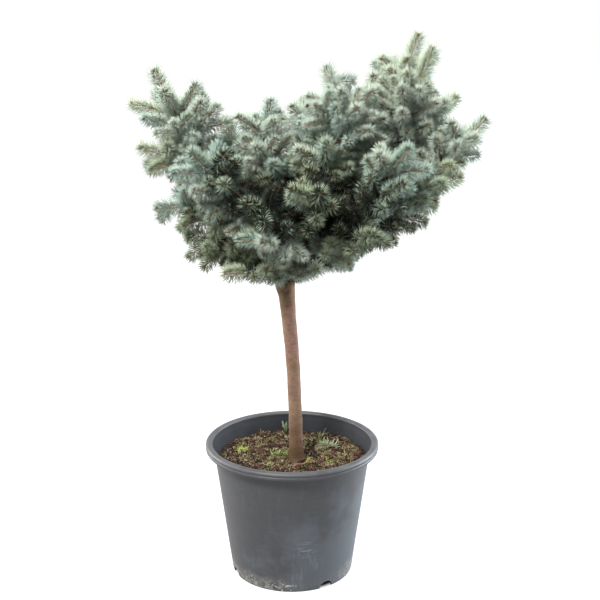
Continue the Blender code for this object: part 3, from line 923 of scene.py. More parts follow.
class Crowding:
    # distances from a new shoot to all that have been placed, worked out at once

    def __init__(self, room):
        self.count = 0
        most = 4000
        self.starts, self.ends = np.zeros((most, 3)), np.zeros((most, 3))
        self.limits, self.radii = np.zeros(most), np.zeros(most)
        for _, start, end, radius, _, crowds in room.placed:
            if crowds:
                self.add(start, end, radius)
            else:
                self.add(start, end, 0, radius + fineGrowth["limbClear"])

    def add(self, start, end, radius, limit=0.0):
        k = self.count
        self.starts[k], self.ends[k], self.radii[k], self.limits[k] = start, end, radius, limit
        self.count += 1

    def room(self, start, end, radius):
        # smallest gap as a share of the room that the shoots would like; under 0 where a limb is cut
        p, q = np.array(start), np.array(end)
        a, b = self.starts[: self.count], self.ends[: self.count]
        reach = np.linalg.norm(q - p) / 2 + np.linalg.norm(b - a, axis=1) / 2 + 0.06
        near = np.linalg.norm((a + b - p - q) / 2, axis=1) < reach
        a, b = a[near], b[near]
        limits, radii = self.limits[: self.count][near], self.radii[: self.count][near]
        if not len(a):
            return 1.0
        spots = p + (q - p) * np.linspace(0, 1, 5)[:, None, None]
        line = b - a
        t = np.clip(((spots - a) * line).sum(-1) / np.maximum((line * line).sum(-1), 1e-12), 0, 1)
        gaps = np.linalg.norm(spots - a - line * t[..., None], axis=-1)
        if (gaps[1:] < limits).any():
            return -1
        crowd = radii > 0
        return (gaps[2:, crowd].min(axis=0) / (radii[crowd] + radius)).min() if crowd.any() else 1.0


def tryShoot(crowding, rng, place, heading, turn, spread, length, rank, age=0.0,
             spacing=fineGrowth["spacing"]):
    # the least crowded of a few tries at a shoot, in a list, or an empty list
    best = (spacing, None)
    radius = growth["needleReach"]
    for attempt in range(fineGrowth["tries"]):
        stray = 10 + 9 * attempt
        roll = math.radians(turn + rng.uniform(-stray, stray))
        angle = math.radians(spread - 6 * math.cos(roll) + rng.uniform(-9, 9))
        reach = length * rng.uniform(0.88, 1.08)
        aim = sideways(heading, roll, angle)
        tip = place + aim * reach
        if not inCrown(tip, fineGrowth["margin"]) or reach < fineGrowth["shortest"]:
            continue
        if any((tip - Vector(middle)).length < wide for middle, wide in fineGrowth["open"]):
            continue
        free = crowding.room(place + aim * radius * 0.6, tip - aim * radius * 0.6, radius)
        if free > best[0]:
            best = (free, Shoot(place, aim, reach, rank, age))
    shoot = best[1]
    if not shoot:
        return []
    near, far = radius * 0.6, shoot.length - radius * 0.6
    crowding.add(shoot.start + shoot.aim * near, shoot.start + shoot.aim * far, radius)
    return [shoot]


def growFiner(limbs, shoots, room):
    crowding = Crowding(room)
    rng = random.Random(fineGrowth["seed"])
    fresh = []

    def sprout(place, heading, count, first, *rest):
        for k in range(count):
            fresh.extend(tryShoot(crowding, rng, place, heading, first + 360 * k / count, *rest))

    byName = {limb.name: limb for limb in limbs}
    branching = fineGrowth["branchingAge"]
    for name, out, tip in fineGrowth["placed"]:
        limb = byName[name]
        place = limb.along(limb.length * (1 - out))[0]
        path = Vector(tip) - place
        fresh.append(Shoot(place, path.normalized(), path.length, 2, branching + 0.2))
        crowding.add(place + path * 0.3, place + path * 0.8, growth["needleReach"])
    for share, count, lengthShare, spread, roll in fineGrowth["betweenWhorls"]:
        for limb in limbs:
            sprout(*limb.along(lerp(limb.shoot, limb.span, share)), count, limb.roll + roll, spread,
                   limb.shoot * lengthShare, 2, share)
    older = [shoot for shoot in shoots + fresh if shoot.age > branching]
    for share, count, lengthShare, spread in fineGrowth["sideShoots"]:
        for shoot in older:
            first = rng.uniform(0, 360)
            sprout(shoot.at(share), shoot.aim, count, first, spread, shoot.length * lengthShare, 3)
    count, spread, length, every, spacing = fineGrowth["alongBoughs"]
    offSpray, offStem = fineGrowth["boughEnds"]
    for limb in limbs:
        distance, k = limb.span + offSpray, 0
        while limb.bare and distance < limb.length - offStem:
            sprout(*limb.along(distance), count, 60 * k, spread, length, 3, 0.0, spacing)
            distance += every
            k += 1
    print(f"  {len(fresh)} finer shoots")
    return fresh


def cutShoots(shoots):
    for place, kept in cutBack:
        for shoot in shoots:
            if (shoot.at(1) - Vector(place)).length < cutWithin:
                shoot.length *= kept


# Needles, twigs and buds

needles = {
    "seed": 5,
    "perMetre": (4000, 3700, 3100, 2700),
    "length": (0.0265, 0.0250, 0.0230, 0.0205),
    "girth": 0.00092,
    # of the unit needle: how far its middle stands back, in radii, and how high up it is widest
    "bow": 1.2,
    "bulge": 0.42,
    "faces": 6,
    "mostFaces": 190000,
    "footAngle": 72,
    "tipAngle": 56,
    "angleStray": 8,
    "lengthStray": (0.88, 1.04),
    # how much the underside parts, and the share of a leading and of any other twig that stays bare
    "parting": 0.22,
    "bareShare": (0.04, 0.10),
    # tuft round the bud: needles, angles from the twig, shares of the needle length
    "tuft": (12, (12, 42), (0.50, 0.66)),
    "twigRadius": 0.0013,
    # colour name: base colour
    "colours": {
        "silver": (0.475, 0.535, 0.440),
        "blue": (0.326, 0.430, 0.374),
        "sage": (0.295, 0.345, 0.228),
        # shade and dark are painted shade, for sprays deep in the crown and in its hollows
        "shade": (0.034, 0.043, 0.029),
        "dark": (0.010, 0.013, 0.009),
        "fresh": (0.43, 0.48, 0.325),
    },
    # stems and boughs: needles a metre, their length, how far they go along the bough
    "stem": (1900, 0.0190),
    "bough": (1500, 0.0170, 0.16),
}


def needleShape():
    # unit needle along +Z: a closed three-sided spindle that curves towards +X
    turns = [2 * math.pi * k / 3 for k in range(3)]
    middle = [(math.cos(a) - needles["bow"], math.sin(a), needles["bulge"]) for a in turns]
    faces = [(0, 2, 1), (0, 3, 2), (0, 1, 3), (4, 1, 2), (4, 2, 3), (4, 3, 1)]
    return newPiece("needlePattern", meshOf([(0, 0, 0), *middle, (0, 0, 1)], faces))


def budShape():
    # a blunt bud of overlapping scales, along +Z
    bm = bmesh.new()
    rings = [ringOf(bm, radius, height, buds["sides"] if radius else 1, height * buds["twist"])
             for height, radius in buds["profile"]]
    return newPiece("budPattern", meshFrom(closeRings(bm, rings)))


def anglesOf(x, y, z):
    # XYZ Euler angles of the turn whose columns are these unit vectors
    return np.stack([
        np.arctan2(y[:, 2], z[:, 2]),
        np.arcsin(np.clip(-x[:, 2], -1, 1)),
        np.arctan2(x[:, 1], x[:, 0]),
    ], axis=1)


def unit(v):
    return v / np.maximum(np.linalg.norm(v, axis=-1, keepdims=True), 1e-12)


def standing(directions, forward):
    # turn of each thing so that its +Z points along its direction and its +X leans forward
    z = unit(directions)
    x = unit(forward - z * (forward * z).sum(-1, keepdims=True))
    return anglesOf(x, np.cross(z, x), z)


def pointMesh(places, turns, sizes):
    mesh = bpy.data.meshes.new("made")
    mesh.vertices.add(len(places))
    mesh.vertices.foreach_set("co", np.ascontiguousarray(places, dtype=np.float32).ravel())
    for label, values in (("turn", turns), ("size", sizes)):
        held = mesh.attributes.new(label, "FLOAT_VECTOR", "POINT")
        held.data.foreach_set("vector", np.ascontiguousarray(values, dtype=np.float32).ravel())
    return mesh


def twigEnd(shoot):
    return shoot.length - growth["needleReach"] * 0.5


def fan(ahead, across, turn):
    # unit vectors turned from one way towards another
    return np.cos(turn)[:, None] * ahead + np.sin(turn)[:, None] * across


def needlesOfShoot(shoot, rng):
    # places, directions, forward directions and lengths
    reach = needles["length"][shoot.rank]
    long = twigEnd(shoot)
    count = int(long * needles["perMetre"][shoot.rank])
    k = np.arange(count)
    share = (k + 0.5) / count
    foot = needles["bareShare"][min(shoot.rank, 1)]
    s = long * (foot + (1 - foot) * share)
    aim, start = np.array(shoot.aim), np.array(shoot.start)
    down = np.array((shoot.aim * shoot.aim.z - up).normalized())
    side = np.cross(aim, down)
    turn = k * goldenTurn + rng.uniform(-0.35, 0.35, count)
    turn = turn + needles["parting"] * np.sin(turn)
    outward = fan(down, side, turn)
    angle = lerp(needles["footAngle"], needles["tipAngle"], share**1.6)
    stray = needles["angleStray"]
    angle = np.radians(angle + 5 * np.cos(turn) + rng.uniform(-stray, stray, count))
    directions = fan(aim, outward, angle)
    length = reach * (0.72 + 0.30 * np.sin(math.pi * np.clip(share * 0.8 + 0.14, 0, 1)))
    length = length * rng.uniform(*needles["lengthStray"], count)
    radius = needles["twigRadius"] * (1 - 0.35 * share)
    places = start + aim * s[:, None] + outward * (radius * 0.7)[:, None]
    count, angles, shares = needles["tuft"]
    outward = fan(down, side, np.arange(count) * goldenTurn + rng.uniform(0, 6))
    tuft = fan(aim, outward, np.radians(rng.uniform(*angles, count)))
    tuftLength = reach * rng.uniform(*shares, count)
    tuftPlaces = start + aim * (long - 0.001) + outward * needles["twigRadius"] * 0.5
    directions = np.concatenate([directions, tuft])
    return (
        np.concatenate([places, tuftPlaces]),
        directions,
        np.tile(aim, (len(directions), 1)),
        np.concatenate([length, tuftLength]),
    )


def needlesOfStem(limb, rng):
    # shorter, older needles on the stem between the whorls, and a few along the bough
    boughCount, boughLength, boughReach = needles["bough"]
    boughEnd = min(limb.span + boughReach, limb.length - 0.01)
    parts = []
    for start, end, perMetre, reach in (
        (limb.shoot, limb.span, *needles["stem"]),
        (limb.span, boughEnd, boughCount if limb.bare else 0, boughLength),
    ):
        count = int(max(end - start, 0) * perMetre)
        if count < 2:
            continue
        spots = [limb.along(lerp(start, end, (k + 0.5) / count)) for k in range(count)]
        places, aims = (np.array(column) for column in zip(*spots))
        down = unit(aims * aims[:, 2:3] - np.array((0, 0, 1)))
        turn = np.arange(count) * goldenTurn + rng.uniform(-0.4, 0.4, count)
        outward = fan(down, np.cross(aims, down), turn)
        directions = fan(aims, outward, np.radians(rng.uniform(55, 85, count)))
        parts.append((places + outward * 0.002, directions, aims, reach * rng.uniform(0.8, 1.05, count)))
    return [np.concatenate(column) for column in zip(*parts)] if parts else None


openness = {
    "heart": (0.03, 0.0, 0.76),
    # share of its length at which a shoot is measured, degrees within which others stand beside it
    "at": 0.6,
    "beside": 22,
}


def setOpenness(shoots):
    # 1 for a shoot at the outside of the crown, less the deeper it stands behind others
    away = np.array([shoot.at(openness["at"]) for shoot in shoots]) - np.array(openness["heart"])
    far = np.linalg.norm(away, axis=1)
    ways = away / far[:, None]
    beside = ways @ ways.T > math.cos(math.radians(openness["beside"]))
    for shoot, share in zip(shoots, far / np.where(beside, far[None, :], 0).max(axis=1)):
        shoot.open = float(share)


# painted light and shade: groups of sprays painted lighter (painted highlight) or darker (painted shade in
# the hollows) than their depth makes them: middle, reach, by how much
paintedLightAndShade = (
    ((-0.100, -0.165, 0.838), 0.060, -0.85),
    ((-0.055, -0.205, 0.812), 0.055, -0.80),
    ((0.006, -0.177, 0.842), 0.030, 0.60),
    ((0.051, -0.240, 0.865), 0.040, -0.80),
    ((0.050, -0.150, 0.862), 0.045, -0.60),
    ((-0.015, -0.190, 0.792), 0.050, -0.75),
    ((0.060, -0.120, 0.810), 0.060, -0.65),
    ((0.130, -0.140, 0.850), 0.035, -0.30),
    ((0.200, -0.180, 0.862), 0.045, -0.35),
    ((0.105, -0.095, 0.850), 0.050, 0.30),
    ((0.168, -0.105, 0.868), 0.035, -0.50),
    ((0.149, -0.193, 0.776), 0.040, -0.25),
    ((0.175, -0.160, 0.785), 0.045, -0.30),
    ((0.211, -0.162, 0.925), 0.040, -0.25),
    ((0.245, -0.150, 0.925), 0.050, -0.20),
    ((0.255, -0.050, 0.830), 0.050, 0.20),
    ((0.330, 0.000, 0.930), 0.070, -0.15),
    ((-0.060, -0.120, 0.870), 0.050, -0.25),
    ((-0.122, -0.155, 0.932), 0.055, -0.50),
    ((-0.190, -0.110, 0.890), 0.050, -0.30),
    ((-0.190, -0.020, 0.930), 0.045, 0.30),
    ((-0.240, -0.040, 0.955), 0.040, 0.30),
    ((-0.140, 0.000, 0.965), 0.080, 0.60),
    ((-0.130, -0.140, 0.872), 0.042, 0.55),
    ((-0.155, -0.090, 0.835), 0.040, 0.45),
    ((-0.110, -0.110, 0.783), 0.045, 0.60),
    ((-0.045, -0.055, 0.905), 0.060, 0.50),
    ((-0.100, -0.020, 0.880), 0.050, 0.30),
    ((0.045, -0.100, 0.935), 0.060, 0.35),
    ((0.120, -0.010, 0.905), 0.050, 0.35),
    ((0.165, 0.000, 0.970), 0.100, 0.60),
    ((0.240, 0.000, 1.020), 0.120, 0.60),
    ((0.050, -0.060, 0.700), 0.070, 0.30),
    ((-0.049, -0.212, 0.765), 0.060, 0.75),
    ((0.015, -0.160, 0.735), 0.060, 0.70),
    ((-0.110, -0.080, 0.738), 0.055, 0.50),
    ((-0.142, -0.090, 0.893), 0.038, 0.40),
    ((-0.150, -0.040, 0.694), 0.050, -0.35),
    ((0.076, -0.085, 0.932), 0.038, -0.40),
)

# colours among which a spray's needles are dealt out, from the lightest sprays to the darkest: painted light
# and shade, paler for sprays out in the light and darker, down to painted shade, for sprays deep in the crown
shadeSteps = (
    (0.98, {"silver": 0.85, "blue": 0.15}),
    (0.84, {"silver": 0.35, "blue": 0.65}),
    (0.70, {"blue": 0.45, "sage": 0.55}),
    (0.58, {"sage": 0.75, "shade": 0.25}),
    (0.46, {"sage": 0.30, "shade": 0.70}),
    (0.34, {"sage": 0.10, "shade": 0.90}),
    (-9, {"shade": 0.25, "dark": 0.75}),
)

# where the wax runs blue (+) or the green shows through (-): place, reach, how far
bloom = (
    ((-0.241, -0.043, 1.001), 0.050, 0.9),
    ((-0.162, -0.116, 0.913), 0.060, 0.9),
    ((-0.030, -0.044, 0.952), 0.060, 0.8),
    ((0.126, -0.085, 0.986), 0.060, 0.9),
    ((0.202, -0.137, 0.899), 0.060, 0.5),
    ((0.181, -0.147, 0.845), 0.055, 0.6),
    ((0.370, -0.018, 0.929), 0.050, 0.9),
    ((-0.216, -0.075, 0.821), 0.040, 0.9),
    ((-0.028, -0.193, 0.775), 0.050, 0.9),
    ((-0.118, -0.136, 0.810), 0.050, 0.6),
    ((-0.268, -0.008, 1.068), 0.040, -0.8),
    ((-0.302, 0.004, 1.003), 0.040, -0.8),
    ((-0.269, -0.046, 0.900), 0.060, -0.8),
    ((-0.201, -0.076, 0.771), 0.060, -0.9),
    ((-0.129, -0.073, 0.710), 0.070, -0.9),
    ((-0.040, -0.110, 0.700), 0.070, -0.9),
    ((0.016, -0.098, 0.883), 0.050, -0.9),
    ((0.115, -0.055, 0.867), 0.050, -0.7),
    ((0.099, -0.139, 0.738), 0.060, -0.8),
    ((0.193, -0.023, 1.057), 0.060, -0.2),
    ((0.281, 0.036, 1.102), 0.060, -0.4),
    ((0.326, 0.036, 1.025), 0.050, -0.8),
    ((0.308, -0.053, 0.861), 0.060, -0.9),
)

# middle and radius of the places with fresh growth, and its share there
freshPlaces = (
    ((0.320, -0.030, 0.840), 0.060, 0.60),
    ((0.210, 0.020, 1.070), 0.080, 0.22),
    ((-0.290, -0.050, 0.915), 0.050, 0.22),
    ((0.160, 0.000, 1.010), 0.050, 0.15),
)


dealing = {
    # share of its length at which a shoot's light is felt, how far it strays, and what the main shoots gain
    "at": 0.65,
    "stray": 0.12,
    "mainShoots": 0.10,
    # height above which sprays are painted darker, painted shade on the top of the crown, over what rise and
    # by how much
    "top": (0.95, 0.10, 0.16),
    # shoots that stand out this far are never darker than that
    "outermost": (0.85, 0.50),
    # which colours give way to which, where the wax runs blue and where the green shows
    "bluer": {"sage": "blue"},
    "greener": {"blue": "sage", "silver": "fresh"},
}


def feltAt(spot, places):
    return sum(much * math.exp(-(((spot - Vector(place)).length / reach) ** 2))
               for place, reach, much in places)


def shadeOfShoot(shoot, rng):
    middle = shoot.at(dealing["at"])
    stray = dealing["stray"]
    # light: how light the spray's needles are painted, darker the deeper it stands in the crown, as painted
    # light and shade
    light = shoot.open + rng.uniform(-stray, stray) + dealing["mainShoots"] * (shoot.rank < 2)
    height, rise, darker = dealing["top"]
    light -= darker * clamp((middle.z - height) / rise)
    light += feltAt(middle, paintedLightAndShade)
    outermost, least = dealing["outermost"]
    if shoot.open > outermost:
        light = max(light, least)
    shade = dict(next(mix for limit, mix in shadeSteps if light > limit))
    lean = feltAt(middle, bloom)
    for name, other in dealing["bluer" if lean > 0 else "greener"].items():
        moved = shade.get(name, 0) * min(abs(lean), 1)
        shade[name] = shade.get(name, 0) - moved
        shade[other] = shade.get(other, 0) + moved
    for place, reach, share in freshPlaces:
        if (middle - Vector(place)).length < reach:
            shade = {name: part * (1 - share) for name, part in shade.items()}
            shade["fresh"] = shade.get("fresh", 0) + share
            return shade
    return shade


def growNeedles(limbs, shoots):
    rng = np.random.default_rng(needles["seed"])
    names = list(needles["colours"])
    columns, colours = [], []
    for shoot in shoots:
        columns.append(needlesOfShoot(shoot, rng))
        shade = shadeOfShoot(shoot, rng)
        mixed = [names.index(name) for name in shade]
        colours.append(rng.choice(mixed, size=len(columns[-1][0]), p=list(shade.values())))
    # the needles on stems and boughs, inside the crown, get the painted shade colours
    for limb in limbs:
        made = needlesOfStem(limb, rng)
        if made is not None:
            columns.append(made)
            colours.append(rng.choice([names.index("shade"), names.index("dark")], size=len(made[0])))
    places, directions, forward, lengths = (np.concatenate(column) for column in zip(*columns))
    colours = np.concatenate(colours)
    turns = standing(directions, forward)
    girths = rng.uniform(0.85, 1.15, len(lengths))
    sizes = np.stack([girths, girths, lengths], axis=1)
    pattern = needleShape()
    tree = standOnPointsTree()
    limit = needles["mostFaces"] // needles["faces"]
    for index, name in enumerate(names):
        chosen = np.flatnonzero(colours == index)
        finish = needleWax(name)
        for part in range(math.ceil(len(chosen) / limit)):
            these = chosen[part * limit : (part + 1) * limit]
            label = f"needles_{name}_{part + 1}"
            piece = newPiece(label, pointMesh(places[these], turns[these], sizes[these]))
            runTree(piece, tree, Thing=pattern, Finish=finish, Length=1.0, Girth=needles["girth"])
            keepPiece(piece, "foliage", *sprayNodes)
    bpy.data.objects.remove(pattern)
    print(f"  {len(colours)} needles")
    return tree


def needleWax(name):
    finish, _, shader = newFinish(f"needleWax_{name}", 0.60, 0.15)
    shader.inputs["Base Color"].default_value = (*needles["colours"][name], 1)
    return finish


twigs = {
    "sides": 6,
    # where along a twig its rings stand, apart from its ends, and their radii in twig radii
    "rings": (0.3, 0.7),
    "taper": (1.15, 1, 0.85, 0.65),
    # how much thicker the main twigs are, and the others
    "stout": (1.1, 0.95),
    # stems between the whorls: rings, radius at the foot and at the tip
    "stem": (10, 0.0033, 0.0020),
    # light above which a twig gets the paler, lit tones; below it the dark tones are painted shade
    "litTwigsFrom": 0.60,
    # dark, middle and pale
    "tones": {
        "youngTwigs": ((0.24, 0.115, 0.070), (0.36, 0.205, 0.120), (0.46, 0.32, 0.19)),
        "oldTwigs": ((0.055, 0.043, 0.030), (0.115, 0.088, 0.060), (0.20, 0.15, 0.095)),
    },
}


def growTwigs(limbs, shoots):
    made = {"youngTwigs": [], "oldTwigs": []}
    for shoot in shoots:
        thick = needles["twigRadius"] * twigs["stout"][shoot.rank > 1]
        ends = (-0.002, *(share * shoot.length for share in twigs["rings"]), twigEnd(shoot))
        tube = [shoot.start + shoot.aim * s for s in ends], [thick * wide for wide in twigs["taper"]]
        # twigs deep in the crown take the dark tones, painted shade
        light = shoot.open + feltAt(shoot.at(dealing["at"]), paintedLightAndShade)
        made["youngTwigs" if light > twigs["litTwigsFrom"] else "oldTwigs"].append(tube)
    count, foot, tip = twigs["stem"]
    radii = steps(foot, tip, count)
    made["oldTwigs"] += [(limb.part(limb.span, limb.shoot * 0.96, count), radii) for limb in limbs]
    for name, tubes in made.items():
        dress(name, tubeMesh(tubes, twigs["sides"]), twigSkin(name), "bough", *sprayNodes)


def twigSkin(name):
    dark, middle, pale = twigs["tones"][name]
    return mottled(f"{name}Skin", 0.6, 0.3, (26,), (0.30, dark), (0.50, middle), (0.70, pale),
                   relief=((900, 2), 0.5, 0.0004))


buds = {
    "seed": 12,
    "length": 0.0062,
    "girth": 0.0021,
    # of the unit bud: height and radius of its rings, and how far they twist by its tip
    "profile": ((-0.05, 0), (0.0, 0.6), (0.3, 1.0), (0.6, 0.8), (1.0, 0)),
    "sides": 5,
    "twist": 1.4,
    # the pair beside the end bud: how far back and out, how far they lean, their size
    "pair": (0.002, 0.0010, 0.7, (0.7, 0.7, 0.75)),
}


def growBuds(shoots, tree):
    rng = np.random.default_rng(buds["seed"])
    made = []
    back, aside, lean, size = buds["pair"]
    for shoot in shoots:
        end = shoot.start + shoot.aim * (twigEnd(shoot) - 0.0008)
        side = shoot.aim.orthogonal().normalized()
        made.append((end, shoot.aim, (1, 1, 1)))
        first = rng.uniform(0, 6)
        for k in range(2 if shoot.rank < 3 else 0):
            out = Quaternion(shoot.aim, first + math.pi * k) @ side
            place = end - shoot.aim * back + out * aside
            made.append((place, (shoot.aim + out * lean).normalized(), size))
    places, directions, sizes = (np.array(column) for column in zip(*made))
    forward = np.cross(directions, rng.normal(size=directions.shape))
    piece = newPiece("buds", pointMesh(places, standing(directions, forward), sizes))
    pattern = budShape()
    runTree(piece, tree, Thing=pattern, Finish=budScales(), Length=buds["length"], Girth=buds["girth"])
    bpy.data.objects.remove(pattern)
    keepPiece(piece, "bough", *sprayNodes)


def budScales():
    return mottled("budScales", 0.55, 0.3, (240, 3), (0.35, (0.12, 0.065, 0.035)), (0.65, (0.27, 0.16, 0.09)))


# Trunk and boughs: bark with its relief

trunk = {
    "sides": 96,
    "rings": 430,
    # relief: how fine across and along the stem, how tall; the bands are broken up
    "waves": (38, 38, 0.0007),
    "bands": (45, 520, 0.00016),
    "breaks": (60, 70, 1.0),
    "flakes": (330, 240, 0.00034),
    # height, bearing, radius and depth of the scars of pruned shoots
    "scars": (
        (0.562, -58, 0.0040, 0.0016),
        (0.480, -40, 0.0032, 0.0012),
        (0.549, -112, 0.0034, 0.0010),
        (0.421, 20, 0.0032, 0.0010),
        (0.520, 150, 0.0042, 0.0014),
        (0.372, 96, 0.0030, 0.0010),
        (0.600, 62, 0.0045, 0.0014),
        (0.655, -70, 0.0060, 0.0022),
    ),
    # height, bearing, radius and height of swellings at the graft
    "lumps": (
        (0.626, 186, 0.016, 0.0030),
        (0.640, -30, 0.014, 0.0016),
        (0.612, 80, 0.016, 0.0020),
        (0.655, 130, 0.015, 0.0018),
    ),
}


def trunkRelief(bearing, height, radius):
    # how far the bark stands out from the smooth stem
    turn = math.radians(bearing)
    spot = Vector((math.cos(turn) * radius, math.sin(turn) * radius, height))

    def grain(kind):
        across, along, tall = trunk[kind]
        return noise.noise(Vector((spot.x * across, spot.y * across, height * along))) * tall

    def apart(at, side, wide):
        return math.hypot(math.radians((bearing - side + 180) % 360 - 180) * radius, height - at) / wide

    stands = grain("waves") + grain("bands") * (0.6 + grain("breaks")) - abs(grain("flakes"))
    for *where, tall in trunk["lumps"]:
        stands += tall * math.exp(-2.2 * apart(*where) ** 2)
    for *where, deep in trunk["scars"]:
        # a rim round a hollow
        far = apart(*where)
        stands += deep * (0.55 * math.exp(-7 * (far - 0.9) ** 2) - 0.8 * math.exp(-6 * far * far))
    return stands


def makeTrunk():
    rows = trunkRows(trunk["rings"])
    x, y, z, radius = rows[0]
    rows.insert(0, (x, y, z - soil["hollow"] * 1.5, radius * 1.04))
    bearings = [360 * k / trunk["sides"] for k in range(trunk["sides"])]
    rings = [[Vector((x, y, z)) + direction(bearing, 0) * (radius + trunkRelief(bearing, z, radius))
              for bearing in bearings] for x, y, z, radius in rows]
    top = Vector(rows[-1][:3]) + up * rows[-1][3] * 0.3
    dress("trunkBark", loftMesh([(Vector(rows[0][:3]), rings, top)]), stemBark(), "bark", "trunk")


def stemBark():
    # pinkish tan with fine rings, darker and browner at the soil, orange-brown up in the foliage and darker
    # there as painted shade of the crown
    finish, tree, shader = newFinish("stemBark", 0.82, 0.25)
    where, flat = placeOnPiece(tree), placeOnPiece(tree, (1, 1, 7))
    height = addNode(tree, "ShaderNodeSeparateXYZ", {"Vector": where}).outputs["Z"]

    def grains(at, grain, *stops):
        return ramp(tree, noiseNode(tree, at, *grain), *stops)

    def between(low, high):
        return ranged(tree, height, low, high, "LINEAR")

    tone = grains(where, (42, 5, 0.62), (0.30, (0.182, 0.106, 0.073)), (0.50, (0.248, 0.155, 0.109)),
                  (0.70, (0.31, 0.211, 0.154)))
    graft = maths(tree, "MULTIPLY", between(0.585, 0.63), grains(where, (55, 4), (0.45, 0.0), (0.60, 1.0)))
    # hue from place to place, fine rings, specks, then the foot, the top and the graft
    for share, by in (
        (1.0, grains(where, (13, 3, 0.5), (0.40, (1.06, 0.96, 1.02)), (0.62, (0.96, 1.02, 0.86)))),
        (1.0, grains(flat, (62, 6, 0.7), (0.36, 0.84), (0.52, 1.0), (0.66, 1.08))),
        (0.75, grains(where, (300, 3, 0.6), (0.34, 0.45), (0.44, 1.0))),
        (between(0.36, 0.26), (0.50, 0.44, 0.36)),
        # the top: browner, and darker as painted shade under the crown
        (between(0.66, 0.74), (0.80, 0.56, 0.34)),
        (graft, (0.62, 0.58, 0.52)),
    ):
        tone = mixColours(tree, share, tone, by, "MULTIPLY")
    tree.links.new(tone, shader.inputs["Base Color"])
    relief = maths(tree, "ADD", noiseNode(tree, flat, 110, 6, 0.7), noiseNode(tree, where, 420, 4, 0.6))
    bump(tree, shader, relief, 0.55, 0.0012)
    return finish


boughs = {
    "sides": 10,
    "rings": 26,
    "relief": 0.00035,
}


def makeBoughs(limbs):
    rows = []
    sides, count = boughs["sides"], boughs["rings"]
    for limb in (limb for limb in limbs if limb.bare):
        points = limb.boughLine(count)
        radii = steps(limb.footRadius(), growth["boughTipRadius"], count)
        rings = []
        for i, (point, (ahead, side)) in enumerate(zip(points, framesAlong(points, limb.out))):
            radius = radii[i] * (0.97 + 0.05 * math.sin(i * 1.9 + limb.bearing) if i else 1.0)
            ring = []
            for k in range(sides):
                outward = Quaternion(ahead, 2 * math.pi * k / sides) @ side
                rough = noise.noise((point + outward * radius) * 210) * boughs["relief"] if i else 0
                ring.append(point + outward * (radius + rough))
            rings.append(ring)
        rows.append((points[0], rings, points[-1] + ahead * 0.0001))
    dress("boughBark", loftMesh(rows), youngBark(), "bough", *boughNodes)


def youngBark():
    def specked(tree, where, tone):
        specks = ramp(tree, noiseNode(tree, where, 380, 3, 0.6), (0.36, 0.5), (0.48, 1.0))
        return mixColours(tree, 0.7, tone, specks, "MULTIPLY")

    return mottled("youngBark", 0.75, 0.25, (60, 5, 0.6), (0.30, (0.13, 0.075, 0.045)),
                   (0.52, (0.25, 0.145, 0.080)), (0.72, (0.34, 0.215, 0.125)),
                   over=specked, relief=((420, 5, 0.65), 0.7, 0.0010))


# Pot

pot = {
    "rimRadius": 0.185,
    "height": 0.2915,
    "beadWide": 0.0078,
    "beadTall": 0.0060,
    # below the bead: inset from the rim's edge and drop from its top, upwards, with a groove in it
    "skirt": ((0.0066, 0.0162), (0.0040, 0.0170), (0.0018, 0.0167), (0.0006, 0.0152), (0.0003, 0.0130),
              (0.0006, 0.0112), (0.0016, 0.0101), (0.0015, 0.0092), (0.0003, 0.0078)),
    "lipDrop": 0.0195,
    "footRadius": 0.1285,
    "baseRadius": 0.1310,
    "baseHeight": 0.006,
    "shoulderRadius": 0.1672,
    "wall": 0.0026,
    "floorRise": 0.017,
    "hubRadius": 0.028,
    "notchBearings": (-57, -158, 66),
    "notchWidth": 0.030,
    "notchHeight": 0.0155,
    "notchPast": 0.012,
    "segments": 168,
    # how fine, how tall, and the height from which the wall waves in full
    "waves": (9, 0.0005, 0.04),
    "sharpAngle": 38,
}


def potProfile():
    # underside, outer wall, rolled lip with a faint groove round it, then the inside
    beadWide, beadTall = pot["beadWide"], pot["beadTall"]
    beadR, beadZ = pot["rimRadius"] - beadWide, pot["height"] - beadTall
    lipZ = pot["height"] - pot["lipDrop"]
    foot, shoulder = pot["footRadius"], pot["shoulderRadius"]
    footInside, innerTop = foot - pot["wall"], shoulder - pot["wall"]
    skirt = [(pot["rimRadius"] - inset, pot["height"] - drop) for inset, drop in pot["skirt"]]
    bead = [math.radians(a) for a in range(0, 171, 10)]
    wall = [(lerp(pot["baseRadius"], shoulder, t), lerp(pot["baseHeight"], lipZ + 0.001, t))
            for t in (0, 0.01, 0.25, 0.5, 0.75, 0.97, 1)]
    return [
        (0, 0),
        (pot["hubRadius"] - 0.001, 0),
        (pot["hubRadius"], 0.001),
        (pot["hubRadius"], pot["floorRise"]),
        (footInside, pot["floorRise"]),
        (footInside, 0.0006),
        (footInside + 0.0006, 0),
        (foot - 0.0003, 0),
        (foot + 0.0006, 0.0004),
        (foot + 0.0013, 0.0016),
        *wall,
        (shoulder + 0.0003, lipZ + 0.0042),
        (shoulder + 0.0014, lipZ + 0.0056),
        *skirt,
        *((beadR + beadWide * math.cos(a), beadZ + beadTall * math.sin(a)) for a in bead),
        (beadR - beadWide * 1.02, beadZ - 0.0014),
        (innerTop + 0.0022, lipZ + 0.0050),
        (innerTop, lipZ),
        (footInside, pot["floorRise"] + pot["wall"]),
        (0, pot["floorRise"] + pot["wall"]),
    ]


def turned(profile, segments):
    bm = bmesh.new()
    return closeRings(bm, [ringOf(bm, r, z, segments if r else 1) for r, z in profile])


